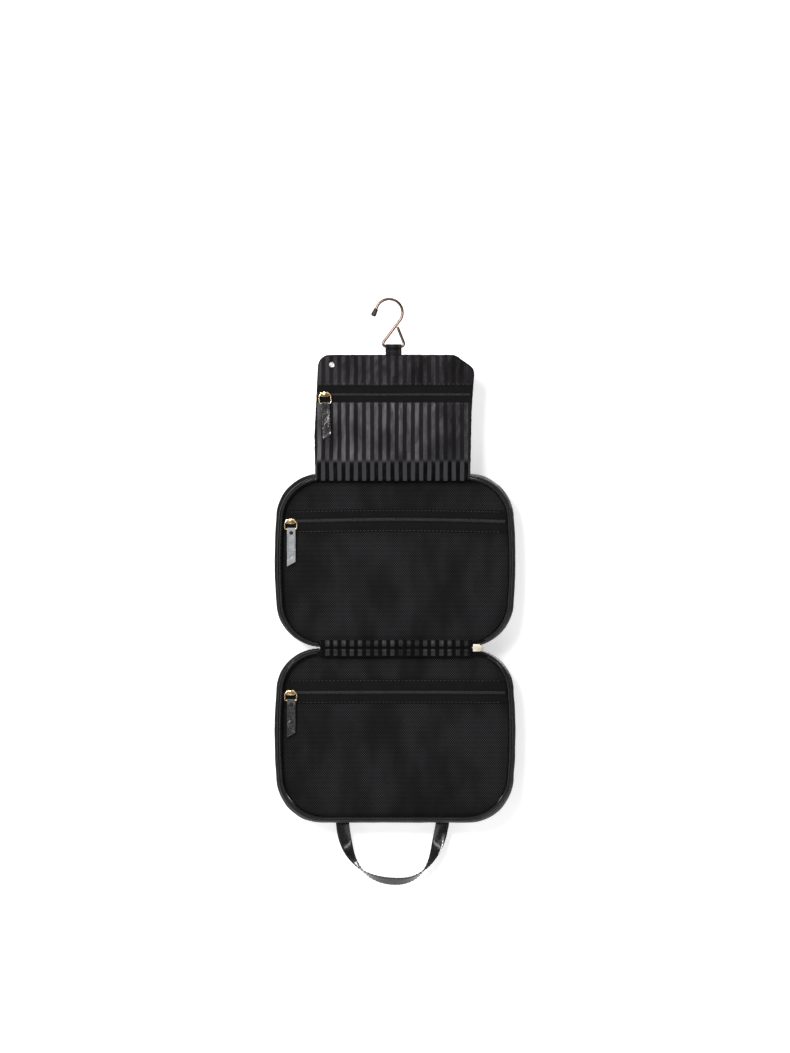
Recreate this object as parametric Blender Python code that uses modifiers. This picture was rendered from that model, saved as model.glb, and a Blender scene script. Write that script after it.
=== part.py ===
"""Hanging toiletry bag: a wire hook, a zipped flap and two folding mesh-front trays.

Lengths are in millimetres in the constants and turned into metres by MM.
The bag's own axes are X across, Y from front (negative) to back, Z up. The
bag_frame empty puts the inside top of the hook's bow at the world origin.
"""

import bmesh
import bpy
import math
from mathutils import Matrix, Vector
from mathutils.geometry import interpolate_bezier

MM = 0.001
GAP = 0.3

# hook: one bent wire, and its plane in the bag's own axes
HOOK_WIRE_R = 1.4
HOOK_Y = -7.3
BOW_X = -5.8
BOW_Z = -11.9
BOW_R = 13.3
BOW_START_DEG = 163.8
BOW_END_DEG = -37.0
HOOK_BAR_Z = -46.0
HOOK_CORNER_LEFT_X = -14.8
HOOK_CORNER_RIGHT_X = 10.4
HOOK_CORNER_R = 3.0
STUB_END = (2.9, -27.4)
TIP_DIRECTION = (-0.417, -0.909)
TIP_WIRE_LENGTH = 4.5
TIP_CAP_START = 0.6
TIP_CAP_END = 8.4
TIP_CAP_R = 2.6
TIP_CAP_BORE_R = 1.55

# flap: two fabric layers in a turned edge, with a zip across
FLAP_TOP_Z = -54.0
FLAP_BOTTOM_Z = -179.9
FLAP_FRONT_Y = -4.2
FLAP_BACK_Y = -1.7
FLAP_SHEET = 0.6
FLAP_EDGE = 2.2
FLAP_HINGE_Y = -5.5
FLAP_HINGE_Z = -180.2
FLAP_ZIP_Z = -93.6
FLAP_ZIP_OPEN_TOP_Z = -84.8
FLAP_ZIP_OPEN_BOTTOM_Z = -101.5
FLAP_COIL_HALF = 0.9
FLAP_COIL_FRONT_Y = -3.9
FLAP_TAPE_Y = (-3.3, -2.7)
FLAP_CORNERS = (
    (-76.5, FLAP_TOP_Z, 12.0),
    (60.0, FLAP_TOP_Z, 10.0),
    (79.5, -68.0, 9.0),
    (76.5, -110.0, 60.0),
    (75.0, FLAP_BOTTOM_Z, 4.0),
    (-79.5, FLAP_BOTTOM_Z, 4.0),
    (-80.5, -135.0, 60.0),
)
SNAP_X = -63.0
SNAP_Z = -64.0
SNAP_R = 2.75

# hook tab: a fabric loop round the hook's bar, its tail between the flap's layers
TAB_X = (-9.5, 6.5)
TAB_LOOP_R = 2.5
TAB_HOLE_R = 1.7
TAB_TAIL_Y = (-3.3, -2.6)
TAB_TAIL_END_Z = -70.0

# trays: the rim lies at Y = 0 and the back panel is flat at TRAY_DEPTH
TRAY_DEPTH = 38.0
TRAY_HALF_WIDTH = 116.6
TRAY_BOW = 1.6
TRAY_CORNER_STEPS = 6
TRAY_SIDE_STEPS = 4
UPPER_FAR_Z = -174.9
UPPER_HINGE_Z = -346.3
LOWER_HINGE_Z = -348.7
LOWER_FAR_Z = -520.1
UPPER_R = (45.0, 46.0)
LOWER_R = (42.0, 46.0)
TRAY_HINGE_Y = -3.0
TRAY_HINGE_Z = -347.5
GUSSET_WALL = 1.6
GUSSET_SECTIONS = (
    (0.3, 0.0),
    (4.0, 1.4),
    (10.0, 2.6),
    (20.0, 2.9),
    (29.0, 2.3),
    (35.3, 0.6),
)
BACK_PANEL_Y = (36.3, 38.0)
BACK_PANEL_INSET = 1.4
PIPING_R = 1.1
PIPING_INSET = -0.2
LINING_Y = (33.6, 34.2)
LINING_INSET = 2.2
CHAIN_R = 1.0
CHAIN_Y = -0.05
CHAIN_INSET = 2.9
CHAIN_END_LEFT_X = -77.0
CHAIN_END_RIGHT_X = 90.0
MAIN_TAPE_INSETS = (2.2, 3.2)
MAIN_TAPE_Y = (1.4, 7.0)
BINDING_INSETS = (4.2, 4.7)
BINDING_Y = (0.6, 7.4)
MESH_INSET = 5.0
MESH_Y = (6.0, 6.6)

# pocket zips across the trays
POCKET_TAPE_Y = (5.1, 5.7)
POCKET_COIL_FRONT_Y = 3.9
POCKET_COIL_HALF = 1.3
UPPER_ZIP_Z = -220.5
UPPER_TAPE_SPAN = (-210.0, -232.5)
LOWER_ZIP_Z = -391.9
LOWER_TAPE_SPAN = (-379.0, -403.0)
MESH_TUCK = 1.4

# zip sliders, rings and pull straps
SLIDER_PLATE = 0.9
SLIDER_GAP = 0.35
RING_WIRE_R = 0.6
POST_R = 0.7
CAP_R = 2.4
CAP_THICK = 0.8
POST_TO_RING_BAR = 1.75
PULL_HOLE_R = 0.9
PULL_LOOP_R = 1.8
PULL_THICK = 1.3
TRAY_SLIDER_X = -104.4
FLAP_SLIDER_X = -70.0
FLAP_PULL_TILT_DEG = -3.0

# hinge strips between the trays, and the main zip's slider at their end
STRIP_X = (-75.0, 77.0)
STRIP_Y = (-0.6, 0.0)
STRIP_REACH = 8.2
MAIN_SLIDER_Y = (-3.6, -2.4)
MAIN_SLIDER_X = (78.0, 84.5, 88.0)
MAIN_SLIDER_Z = (-2.8, 4.4)
MAIN_PIN_X = 86.8
MAIN_PIN_Y = -0.6
MAIN_PULL_HALF = 1.4
MAIN_PULL_END_Y = 31.0

# handle: a flat strap sewn to the lower tray's bottom gusset
HANDLE_Y = 31.0
HANDLE_PIVOT_Z = -524.9
HANDLE_WIDTH = 13.0
HANDLE_THICK = 1.2
HANDLE_LEFT = ((-53.0, -524.9), (-50.0, -560.0), (-34.0, -584.0), (2.0, -584.0))
HANDLE_RIGHT = ((2.0, -584.0), (30.0, -584.0), (42.0, -560.0), (48.0, -524.9))
HANDLE_STEPS = 13
HANDLE_BOTTOM_TWIST_DEG = 130.0
ANCHOR_SIZE = (14.0, 9.0, 1.2)
ANCHOR_TOP_Z = -523.0

BAG_FRAME = (-BOW_X, -HOOK_Y, 0.0)


# scene and collections


def clear_scene():
    for obj in list(bpy.data.objects):
        bpy.data.objects.remove(obj, do_unlink=True)


def new_collection(name):
    coll = bpy.data.collections.new(name)
    bpy.context.scene.collection.children.link(coll)
    return coll


clear_scene()
PARTS = new_collection("toiletry_bag")
CUTTERS = new_collection("cutters")


def material(name, color, roughness, metallic=0.0):
    mat = bpy.data.materials.new(name)
    mat.use_nodes = True
    shader = mat.node_tree.nodes["Principled BSDF"]
    shader.inputs["Base Color"].default_value = (*color, 1.0)
    shader.inputs["Roughness"].default_value = roughness
    shader.inputs["Metallic"].default_value = metallic
    mat.diffuse_color = (*color, 1.0)
    return mat


def empty(name, location, parent=None):
    obj = bpy.data.objects.new(name, None)
    obj.empty_display_size = 0.01
    PARTS.objects.link(obj)
    obj.location = [c * MM for c in location]
    obj.parent = parent
    return obj


FRAME = empty("bag_frame", BAG_FRAME)


def pivot(name, location):
    """An empty on a joint's axis, given in the bag's own axes."""
    return empty(name, location, FRAME)


def attach(obj, parent):
    """Parent obj, whose geometry is in the bag's axes, to an empty and keep its place."""
    obj.parent = parent
    if parent is not FRAME:
        obj.location = Vector(obj.location) - Vector(parent.location)
    return obj


# outlines, as lists of points in two axes


def fillet(points, radii, steps, closed=True):
    """Points along a polygon whose corners are rounded by the given radii."""
    out = []
    count = len(points)
    for i, (corner, radius) in enumerate(zip(points, radii)):
        ends = not closed and i in (0, count - 1)
        if ends or radius <= 0:
            out.append(tuple(corner))
            continue
        here = Vector(corner)
        back = (Vector(points[i - 1]) - here).normalized()
        ahead = (Vector(points[(i + 1) % count]) - here).normalized()
        half = back.angle(ahead) / 2
        reach = radius / math.tan(half)
        middle = here + (back + ahead).normalized() * radius / math.sin(half)
        start = here + back * reach - middle
        turn = start.angle_signed(here + ahead * reach - middle)
        for k in range(steps + 1):
            spoke = start.copy()
            spoke.rotate(Matrix.Rotation(-turn * k / steps, 2))
            out.append(tuple(middle + spoke))
    return out


def tray_outline(far_z, hinge_z, radii, out_side, out_far):
    """Outline of a tray at one depth, anticlockwise from the right side's foot.

    far_z and hinge_z are its two level edges, radii the corner radii at the
    upper and lower edge; out_side and out_far grow its sides and far edge.
    """
    sign = 1 if far_z > hinge_z else -1
    far = far_z + sign * out_far
    hinge = hinge_z
    if out_side < 0:
        hinge = hinge_z - sign * out_side
    top, bottom = max(far, hinge), min(far, hinge)
    half = TRAY_HALF_WIDTH + out_side
    r_top = radii[0] + min(out_side, 0.0)
    r_bottom = radii[1] + min(out_side, 0.0)
    low, high = bottom + r_bottom, top - r_top
    side = []
    for k in range(1, TRAY_SIDE_STEPS):
        t = k / TRAY_SIDE_STEPS
        side.append((half + TRAY_BOW * 4 * t * (1 - t), low + (high - low) * t))
    corners = (
        (half - r_top, high, r_top, 0.0),
        (-half + r_top, high, r_top, 90.0),
        (-half + r_bottom, low, r_bottom, 180.0),
        (half - r_bottom, low, r_bottom, 270.0),
    )
    arcs = []
    for cx, cz, radius, start in corners:
        arc = []
        for k in range(TRAY_CORNER_STEPS + 1):
            angle = math.radians(start + 90.0 * k / TRAY_CORNER_STEPS)
            arc.append((cx + radius * math.cos(angle), cz + radius * math.sin(angle)))
        arcs.append(arc)
    left = [(-x, z) for x, z in reversed(side)]
    return side + arcs[0] + arcs[1] + left + arcs[2] + arcs[3]


def keep_side(points, level, above):
    """The part of a closed outline above or below a level line."""
    out = []
    sign = 1 if above else -1
    for i, (x1, z1) in enumerate(points):
        x0, z0 = points[i - 1]
        inside0 = sign * (z0 - level) >= 0
        inside1 = sign * (z1 - level) >= 0
        if inside0 != inside1:
            t = (level - z0) / (z1 - z0)
            out.append((x0 + (x1 - x0) * t, level))
        if inside1:
            out.append((x1, z1))
    return out


def offset_outline(points, inset):
    """A closed outline moved inwards by inset along its corners' bisectors."""
    out = []
    count = len(points)
    for i, corner in enumerate(points):
        here = Vector(corner)
        before = here - Vector(points[i - 1])
        after = Vector(points[(i + 1) % count]) - here
        n0 = Vector((-before.y, before.x)).normalized()
        n1 = Vector((-after.y, after.x)).normalized()
        blend = (n0 + n1).normalized()
        out.append(tuple(here + blend * inset / max(blend.dot(n0), 0.3)))
    return out


# solids


def finish(name, obj, mat, parent, smooth=False):
    obj.data.materials.append(mat)
    if smooth and obj.type == "MESH":
        obj.data.shade_smooth()
        obj.data.set_sharp_from_angle(angle=math.radians(35))
    return attach(obj, parent)


def spline(curve, points, cyclic):
    line = curve.splines.new("POLY")
    line.points.add(len(points) - 1)
    for point, place in zip(line.points, points):
        point.co = (*[c * MM for c in place], 1.0)
    line.use_cyclic_u = cyclic


def plate(name, outlines, y_span, mat, parent, collection=PARTS):
    """A flat piece: closed outlines in X and Z, as thick as y_span."""
    curve = bpy.data.curves.new(name, "CURVE")
    curve.dimensions = "2D"
    curve.fill_mode = "BOTH"
    for outline in outlines:
        spline(curve, [(x, z, 0.0) for x, z in outline], True)
    curve.extrude = abs(y_span[1] - y_span[0]) / 2 * MM
    obj = bpy.data.objects.new(name, curve)
    collection.objects.link(obj)
    obj.rotation_euler = (math.radians(90), 0.0, 0.0)
    obj.location = (0.0, (y_span[0] + y_span[1]) / 2 * MM, 0.0)
    if mat is None:
        return obj
    return finish(name, obj, mat, parent)


def side_profile(name, outlines, x_span, mat, parent):
    """A piece of constant section: closed outlines in Y and Z, as wide as x_span."""
    curve = bpy.data.curves.new(name, "CURVE")
    curve.dimensions = "2D"
    curve.fill_mode = "BOTH"
    for outline in outlines:
        spline(curve, [(y, z, 0.0) for y, z in outline], True)
    curve.extrude = (x_span[1] - x_span[0]) / 2 * MM
    obj = bpy.data.objects.new(name, curve)
    PARTS.objects.link(obj)
    obj.rotation_euler = (math.radians(90), 0.0, math.radians(90))
    obj.location = ((x_span[0] + x_span[1]) / 2 * MM, 0.0, 0.0)
    return finish(name, obj, mat, parent)


def wire(name, points, radius, mat, parent, cyclic=False, resolution=2):
    """A round wire along points in the bag's axes."""
    curve = bpy.data.curves.new(name, "CURVE")
    curve.dimensions = "3D"
    curve.bevel_depth = radius * MM
    curve.bevel_resolution = resolution
    curve.use_fill_caps = True
    spline(curve, points, cyclic)
    obj = bpy.data.objects.new(name, curve)
    PARTS.objects.link(obj)
    return finish(name, obj, mat, parent)


def link_mesh(name, bm, collection):
    mesh = bpy.data.meshes.new(name)
    bm.to_mesh(mesh)
    bm.free()
    obj = bpy.data.objects.new(name, mesh)
    collection.objects.link(obj)
    return obj


def box(name, low, high, collection):
    """An axis-aligned box between two corners, in the bag's axes."""
    bm = bmesh.new()
    size = [(b - a) * MM for a, b in zip(low, high)]
    centre = [(a + b) / 2 * MM for a, b in zip(low, high)]
    matrix = Matrix.Translation(centre) @ Matrix.Diagonal((*size, 1.0))
    bmesh.ops.create_cube(bm, size=1.0, matrix=matrix)
    return link_mesh(name, bm, collection)


def cylinder(name, centre, radius, length, axis, collection, segments=16):
    """A cylinder along axis, which is one of X, Y or Z."""
    bm = bmesh.new()
    turns = {"X": (0, 90, 0), "Y": (90, 0, 0), "Z": (0, 0, 0)}[axis]
    rotation = Matrix.Identity(4)
    for angle, letter in zip(turns, "XYZ"):
        rotation = rotation @ Matrix.Rotation(math.radians(angle), 4, letter)
    matrix = Matrix.Translation([c * MM for c in centre]) @ rotation
    bmesh.ops.create_cone(
        bm,
        cap_ends=True,
        segments=segments,
        radius1=radius * MM,
        radius2=radius * MM,
        depth=length * MM,
        matrix=matrix,
    )
    return link_mesh(name, bm, collection)


def boolean(target, operation, tools):
    """Cut or join tools into target, and keep them as hidden guides."""
    for tool in tools:
        tool.hide_render = True
        tool.display_type = "WIRE"
        tool.parent = target.parent
        if target.parent is not None and target.parent is not FRAME:
            tool.location = Vector(tool.location) - Vector(target.parent.location)
        modifier = target.modifiers.new(tool.name, "BOOLEAN")
        modifier.operation = operation
        modifier.solver = "EXACT"
        modifier.object = tool


def as_mesh(obj):
    """Replace a curve object by its welded mesh, so that it can be cut."""
    name = obj.name
    bpy.context.view_layer.update()
    graph = bpy.context.evaluated_depsgraph_get()
    mesh = bpy.data.meshes.new_from_object(obj.evaluated_get(graph))
    bm = bmesh.new()
    bm.from_mesh(mesh)
    bmesh.ops.remove_doubles(bm, verts=bm.verts, dist=0.000005)
    bm.to_mesh(mesh)
    bm.free()
    new = bpy.data.objects.new(name + "_mesh", mesh)
    for coll in obj.users_collection:
        coll.objects.link(new)
    new.parent = obj.parent
    new.location = obj.location
    new.rotation_euler = obj.rotation_euler
    bpy.data.objects.remove(obj, do_unlink=True)
    new.name = name
    return new


def loft(name, sections, closed_ends, mat, parent):
    """Skin a list of rings with equal point counts into one surface."""
    bm = bmesh.new()
    rings = []
    for ring in sections:
        rings.append([bm.verts.new([c * MM for c in p]) for p in ring])
    count = len(rings[0])
    for a, b in zip(rings, rings[1:]):
        for i in range(count):
            j = (i + 1) % count
            bm.faces.new((a[i], a[j], b[j], b[i]))
    if closed_ends:
        bm.faces.new(list(reversed(rings[0])))
        bm.faces.new(rings[-1])
    bmesh.ops.recalc_face_normals(bm, faces=bm.faces)
    obj = link_mesh(name, bm, PARTS)
    return finish(name, obj, mat, parent, smooth=True)


# materials

DARK = (0.012, 0.011, 0.013)
SATIN = material("satin_stripe", (0.03, 0.027, 0.03), 0.42)
EDGE = material("flap_edge_fabric", (0.02, 0.018, 0.02), 0.5)
LEATHER = material("faux_leather", (0.018, 0.016, 0.018), 0.38)
PIPING = material("piping_cord", (0.015, 0.014, 0.015), 0.4)
LINING = material("lining_fabric", (0.02, 0.019, 0.021), 0.75)
NET = material("black_net", DARK, 0.7)
TAPE = material("zip_tape", (0.014, 0.013, 0.015), 0.8)
COIL = material("zip_coil", (0.022, 0.021, 0.023), 0.45)
GOLD = material("pale_gold", (0.83, 0.66, 0.4), 0.24, 1.0)
HOOK_METAL = material("rose_bronze", (0.42, 0.25, 0.2), 0.25, 1.0)
RUBBER = material("tip_rubber", DARK, 0.5)
SNAP_METAL = material("snap_nickel", (0.75, 0.74, 0.73), 0.28, 1.0)
PATENT = material("patent_strap", (0.012, 0.011, 0.012), 0.16)
BINDING = material("rim_binding_tape", (0.012, 0.012, 0.013), 0.7)


# the hook, which stays where the bag is hung


def hook_path():
    points = []
    direction = Vector(TIP_DIRECTION).normalized()
    begin = math.radians(BOW_START_DEG)
    first = Vector((BOW_X + BOW_R * math.cos(begin), BOW_Z + BOW_R * math.sin(begin)))
    points.append(tuple(first + direction * TIP_WIRE_LENGTH))
    steps = 20
    for k in range(steps + 1):
        angle = math.radians(BOW_START_DEG + (BOW_END_DEG - BOW_START_DEG) * k / steps)
        points.append(
            (BOW_X + BOW_R * math.cos(angle), BOW_Z + BOW_R * math.sin(angle))
        )
    rest = [
        points[-1],
        (HOOK_CORNER_LEFT_X, HOOK_BAR_Z),
        (HOOK_CORNER_RIGHT_X, HOOK_BAR_Z),
        STUB_END,
    ]
    radii = (0.0, HOOK_CORNER_R, HOOK_CORNER_R, 0.0)
    points += fillet(rest, radii, 6, closed=False)[1:]
    return [(x, HOOK_Y, z) for x, z in points], first, direction


def make_hook():
    path, first, direction = hook_path()
    wire("hook_wire", path, HOOK_WIRE_R, HOOK_METAL, FRAME)
    # the tip's cap is turned about its own Z, mouth at the top
    profile = [
        (TIP_CAP_BORE_R, 0.0),
        (TIP_CAP_R - 0.6, 0.0),
        (TIP_CAP_R, -1.0),
        (TIP_CAP_R + 0.2, TIP_CAP_START - TIP_CAP_END + 1.2),
        (TIP_CAP_R - 0.7, TIP_CAP_START - TIP_CAP_END),
        (0.0, TIP_CAP_START - TIP_CAP_END),
    ]
    profile.append((0.0, -TIP_WIRE_LENGTH))
    profile.append((TIP_CAP_BORE_R, -TIP_WIRE_LENGTH))
    bm = bmesh.new()
    verts = [bm.verts.new((x * MM, 0.0, z * MM)) for x, z in profile]
    for a, b in zip(verts[:6], verts[1:6]):
        bm.edges.new((a, b))
    bm.edges.new((verts[6], verts[7]))
    bm.edges.new((verts[7], verts[0]))
    cap = link_mesh("hook_tip", bm, PARTS)
    turn = cap.modifiers.new("turn", "SCREW")
    turn.axis = "Z"
    turn.steps = 16
    turn.render_steps = 16
    turn.use_merge_vertices = True
    turn.merge_threshold = 0.00001
    start = first + direction * TIP_CAP_START
    cap.location = (start.x * MM, HOOK_Y * MM, start.y * MM)
    lean = math.atan2(-direction.x, -direction.y)
    cap.rotation_euler = (0.0, lean, 0.0)
    finish("hook_tip", cap, RUBBER, FRAME, smooth=True)


# the flap


def make_flap():
    hinge = pivot("flap_hinge", (0.0, HOOK_Y, HOOK_BAR_Z))
    corners = [(x, z) for x, z, _ in FLAP_CORNERS]
    outline = fillet(corners, [r for _, _, r in FLAP_CORNERS], 4)
    if signed_area(outline) < 0:
        outline.reverse()
    inner = offset_outline(outline, FLAP_EDGE)
    sheet = offset_outline(outline, FLAP_EDGE + GAP)
    edge = plate(
        "flap_edge", [outline, inner], (FLAP_FRONT_Y, FLAP_BACK_Y), EDGE, hinge
    )
    edge = as_mesh(edge)
    slot = box(
        "tab_slot",
        (TAB_X[0] - GAP, TAB_TAIL_Y[0] - GAP, FLAP_TOP_Z - 6),
        (TAB_X[1] + GAP, TAB_TAIL_Y[1] + GAP, FLAP_TOP_Z + 4),
        CUTTERS,
    )
    boolean(edge, "DIFFERENCE", [slot])
    back = (FLAP_BACK_Y - FLAP_SHEET, FLAP_BACK_Y)
    front = (FLAP_FRONT_Y, FLAP_FRONT_Y + FLAP_SHEET)
    plate("flap_back_panel", [sheet], back, SATIN, hinge)
    top = keep_side(sheet, FLAP_ZIP_OPEN_TOP_Z, True)
    plate("flap_top_panel", [top], front, SATIN, hinge)
    pocket = keep_side(sheet, FLAP_ZIP_OPEN_BOTTOM_Z, False)
    plate("flap_pocket_front", [pocket], front, SATIN, hinge)
    above = keep_side(sheet, FLAP_ZIP_Z + FLAP_COIL_HALF + GAP, True)
    above = keep_side(above, FLAP_ZIP_OPEN_TOP_Z + MESH_TUCK, False)
    plate("flap_zip_tape_top", [above], FLAP_TAPE_Y, TAPE, hinge)
    below = keep_side(sheet, FLAP_ZIP_Z - FLAP_COIL_HALF - GAP, False)
    below = keep_side(below, FLAP_ZIP_OPEN_BOTTOM_Z - MESH_TUCK, True)
    plate("flap_zip_tape_bottom", [below], FLAP_TAPE_Y, TAPE, hinge)
    coil = keep_side(sheet, FLAP_ZIP_Z + FLAP_COIL_HALF, False)
    coil = keep_side(coil, FLAP_ZIP_Z - FLAP_COIL_HALF, True)
    plate("flap_zip_coil", [coil], (FLAP_COIL_FRONT_Y, FLAP_TAPE_Y[1]), COIL, hinge)
    snap = cylinder(
        "flap_snap", (SNAP_X, FLAP_FRONT_Y - GAP - 0.5, SNAP_Z), SNAP_R, 1.0, "Y", PARTS
    )
    dome = snap.modifiers.new("dome", "BEVEL")
    dome.width = 0.3 * MM
    dome.segments = 2
    finish("flap_snap", snap, SNAP_METAL, hinge, smooth=True)
    make_tab(hinge)


def signed_area(points):
    total = 0.0
    for i, (x1, y1) in enumerate(points):
        x0, y0 = points[i - 1]
        total += x0 * y1 - x1 * y0
    return total / 2


def arc_points(centre, radius, start, end, steps):
    out = []
    for k in range(steps + 1):
        angle = math.radians(start + (end - start) * k / steps)
        out.append(
            (
                centre[0] + radius * math.cos(angle),
                centre[1] + radius * math.sin(angle),
            )
        )
    return out


def make_tab(hinge):
    centre = (HOOK_Y, HOOK_BAR_Z)
    outline = arc_points(centre, TAB_LOOP_R, 0, 300, 14)
    outline += [
        (HOOK_Y + 1.8, HOOK_BAR_Z - 3.5),
        (HOOK_Y + 1.9, FLAP_TOP_Z + 3.2),
        (TAB_TAIL_Y[0], FLAP_TOP_Z + 0.2),
        (TAB_TAIL_Y[0], TAB_TAIL_END_Z),
        (TAB_TAIL_Y[1], TAB_TAIL_END_Z),
        (TAB_TAIL_Y[1], FLAP_TOP_Z + 0.4),
        (HOOK_Y + TAB_LOOP_R + 0.1, FLAP_TOP_Z + 3.6),
    ]
    hole = arc_points(centre, TAB_HOLE_R, 0, 345, 15)
    side_profile("hook_tab", [outline, hole], TAB_X, SATIN, hinge)


# zip slider, ring and pull


def make_pull_set(prefix, where, faces, ring, strap, tilt):
    """A slider on a coil, the ring round its post, and the strap on the ring.

    where is the slider's X and the coil's Z; faces are the Y of the coil's and
    the tape's front and the coil's half height; ring is its width, height and
    wire-corner radii; strap is its width, its length and its offset in X.
    """
    x, z = where
    coil_y, tape_y, coil_half = faces
    slide = pivot(prefix + "_slide", (x, coil_y, z))
    back = coil_y - SLIDER_GAP
    front = back - SLIDER_PLATE
    shield = [
        (x - 4.4, z - 2.2),
        (x - 2.0, z - coil_half - 1.25),
        (x + 3.4, z - coil_half - 1.25),
        (x + 4.4, z - 1.6),
        (x + 4.4, z + 1.6),
        (x + 3.4, z + coil_half + 1.25),
        (x - 2.0, z + coil_half + 1.25),
        (x - 4.4, z + 2.2),
    ]
    slider = plate(prefix + "_slider", [shield], (front, back), GOLD, slide)
    slider = as_mesh(slider)
    tools = []
    for side in (-1, 1):
        near = z + side * (coil_half + SLIDER_GAP)
        far = z + side * (coil_half + SLIDER_GAP + 0.8)
        tools.append(
            box(
                f"{prefix}_flange_{'low' if side < 0 else 'high'}",
                (x - 1.9, front + 0.2, min(near, far)),
                (x + 3.3, tape_y - GAP, max(near, far)),
                CUTTERS,
            )
        )
    ring_y = front - GAP - RING_WIRE_R
    cap_back = ring_y - RING_WIRE_R - GAP
    tools.append(
        cylinder(
            prefix + "_post",
            (x, (front + 0.3 + cap_back - 0.2) / 2, z),
            POST_R,
            front + 0.3 - cap_back + 0.2,
            "Y",
            CUTTERS,
            12,
        )
    )
    tools.append(
        cylinder(
            prefix + "_cap",
            (x, cap_back - CAP_THICK / 2, z),
            CAP_R,
            CAP_THICK,
            "Y",
            CUTTERS,
            14,
        )
    )
    boolean(slider, "UNION", tools)

    swing = pivot(prefix + "_swing", (x, ring_y, z))
    swing.rotation_euler = (0.0, math.radians(tilt), 0.0)
    width, height, r_top, r_bottom, shift = ring
    top = z + POST_TO_RING_BAR
    bottom = top - height
    half = width / 2
    corners = [
        (x + shift + half, bottom),
        (x + shift + half, top),
        (x + shift - half, top),
        (x + shift - half, bottom),
    ]
    loop = fillet(corners, (r_bottom, r_top, r_top, r_bottom), 5)
    wire(
        prefix + "_ring",
        [(a, ring_y, b) for a, b in loop],
        RING_WIRE_R,
        GOLD,
        swing,
        cyclic=True,
        resolution=1,
    )
    lift = pivot(prefix + "_lift", (x, ring_y, bottom))
    lift.parent = swing
    lift.location = (0.0, 0.0, (bottom - z) * MM)
    strap_width, strap_length, strap_x = strap
    centre = (ring_y, bottom)
    tail = PULL_THICK / 2
    meet = math.degrees(math.asin(tail / PULL_LOOP_R))
    outline = arc_points(centre, PULL_LOOP_R, -90 + meet, 270 - meet, 14)
    end = bottom - strap_length
    outline += [(ring_y - tail, end), (ring_y + tail, end)]
    hole = arc_points(centre, PULL_HOLE_R, 0, 324, 9)
    pull = side_profile(
        prefix + "_pull",
        [outline, hole],
        (strap_x - strap_width / 2, strap_x + strap_width / 2),
        PATENT,
        FRAME,
    )
    pull.parent = lift
    pull.location = ((strap_x - x) * MM, -ring_y * MM, -bottom * MM)


# the trays


def make_tray(prefix, far_z, hinge_z, radii, zip_z, tape_span, pivot_at):
    hinge = pivot(prefix + "_hinge", pivot_at)

    def ring(inset):
        return tray_outline(far_z, hinge_z, radii, -inset, -inset)

    sections = []
    for y, out in GUSSET_SECTIONS:
        outline = tray_outline(far_z, hinge_z, radii, out, out)
        sections.append([(x, y, z) for x, z in outline])
    gusset = loft(prefix + "_gusset", sections, False, LEATHER, hinge)
    wall = gusset.modifiers.new("wall", "SOLIDIFY")
    wall.thickness = GUSSET_WALL * MM
    wall.offset = -1.0
    wall.use_even_offset = True
    panel = inner_outline(far_z, hinge_z, radii, -BACK_PANEL_INSET)
    plate(prefix + "_back_panel", [panel], BACK_PANEL_Y, LEATHER, hinge)
    plate(prefix + "_lining", [ring(LINING_INSET)], LINING_Y, LINING, hinge)
    cord_y = BACK_PANEL_Y[0] + 0.75
    rim = inner_outline(far_z, hinge_z, radii, -PIPING_INSET)
    cord = [(x, cord_y, z) for x, z in rim]
    wire(
        prefix + "_back_piping", cord, PIPING_R, PIPING, hinge, cyclic=True, resolution=1
    )
    chain = open_chain(ring(CHAIN_INSET), hinge_z)
    wire(
        prefix + "_zip_chain",
        [(x, CHAIN_Y, z) for x, z in chain],
        CHAIN_R,
        COIL,
        hinge,
        resolution=1,
    )
    tape = [ring(MAIN_TAPE_INSETS[0]), ring(MAIN_TAPE_INSETS[1])]
    plate(prefix + "_zip_tape", tape, MAIN_TAPE_Y, TAPE, hinge)
    binding = [ring(BINDING_INSETS[0]), ring(BINDING_INSETS[1])]
    plate(prefix + "_rim_binding", binding, BINDING_Y, BINDING, hinge)
    net = ring(MESH_INSET)
    high, low = tape_span
    top_net = keep_side(net, high - MESH_TUCK, True)
    low_net = keep_side(net, low + MESH_TUCK, False)
    plate(prefix + "_mesh_top", [top_net], MESH_Y, NET, hinge)
    plate(prefix + "_mesh_bottom", [low_net], MESH_Y, NET, hinge)
    edge = POCKET_COIL_HALF + GAP
    spans = (
        ("_pocket_tape_top", (high, zip_z + edge), POCKET_TAPE_Y, TAPE),
        ("_pocket_tape_bottom", (zip_z - edge, low), POCKET_TAPE_Y, TAPE),
        (
            "_pocket_coil",
            (zip_z + POCKET_COIL_HALF, zip_z - POCKET_COIL_HALF),
            (POCKET_COIL_FRONT_Y, POCKET_TAPE_Y[1]),
            COIL,
        ),
    )
    for suffix, (z1, z0), y_span, mat in spans:
        strip = keep_side(keep_side(net, z1, False), z0, True)
        plate(prefix + suffix, [strip], y_span, mat, hinge)
    return hinge


def inner_outline(far_z, hinge_z, radii, out):
    """A tray outline whose hinge edge is also tucked in by the piping's radius."""
    sign = 1 if far_z > hinge_z else -1
    tucked = hinge_z + sign * (PIPING_R + GAP)
    return tray_outline(far_z, tucked, radii, out, out)


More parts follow.
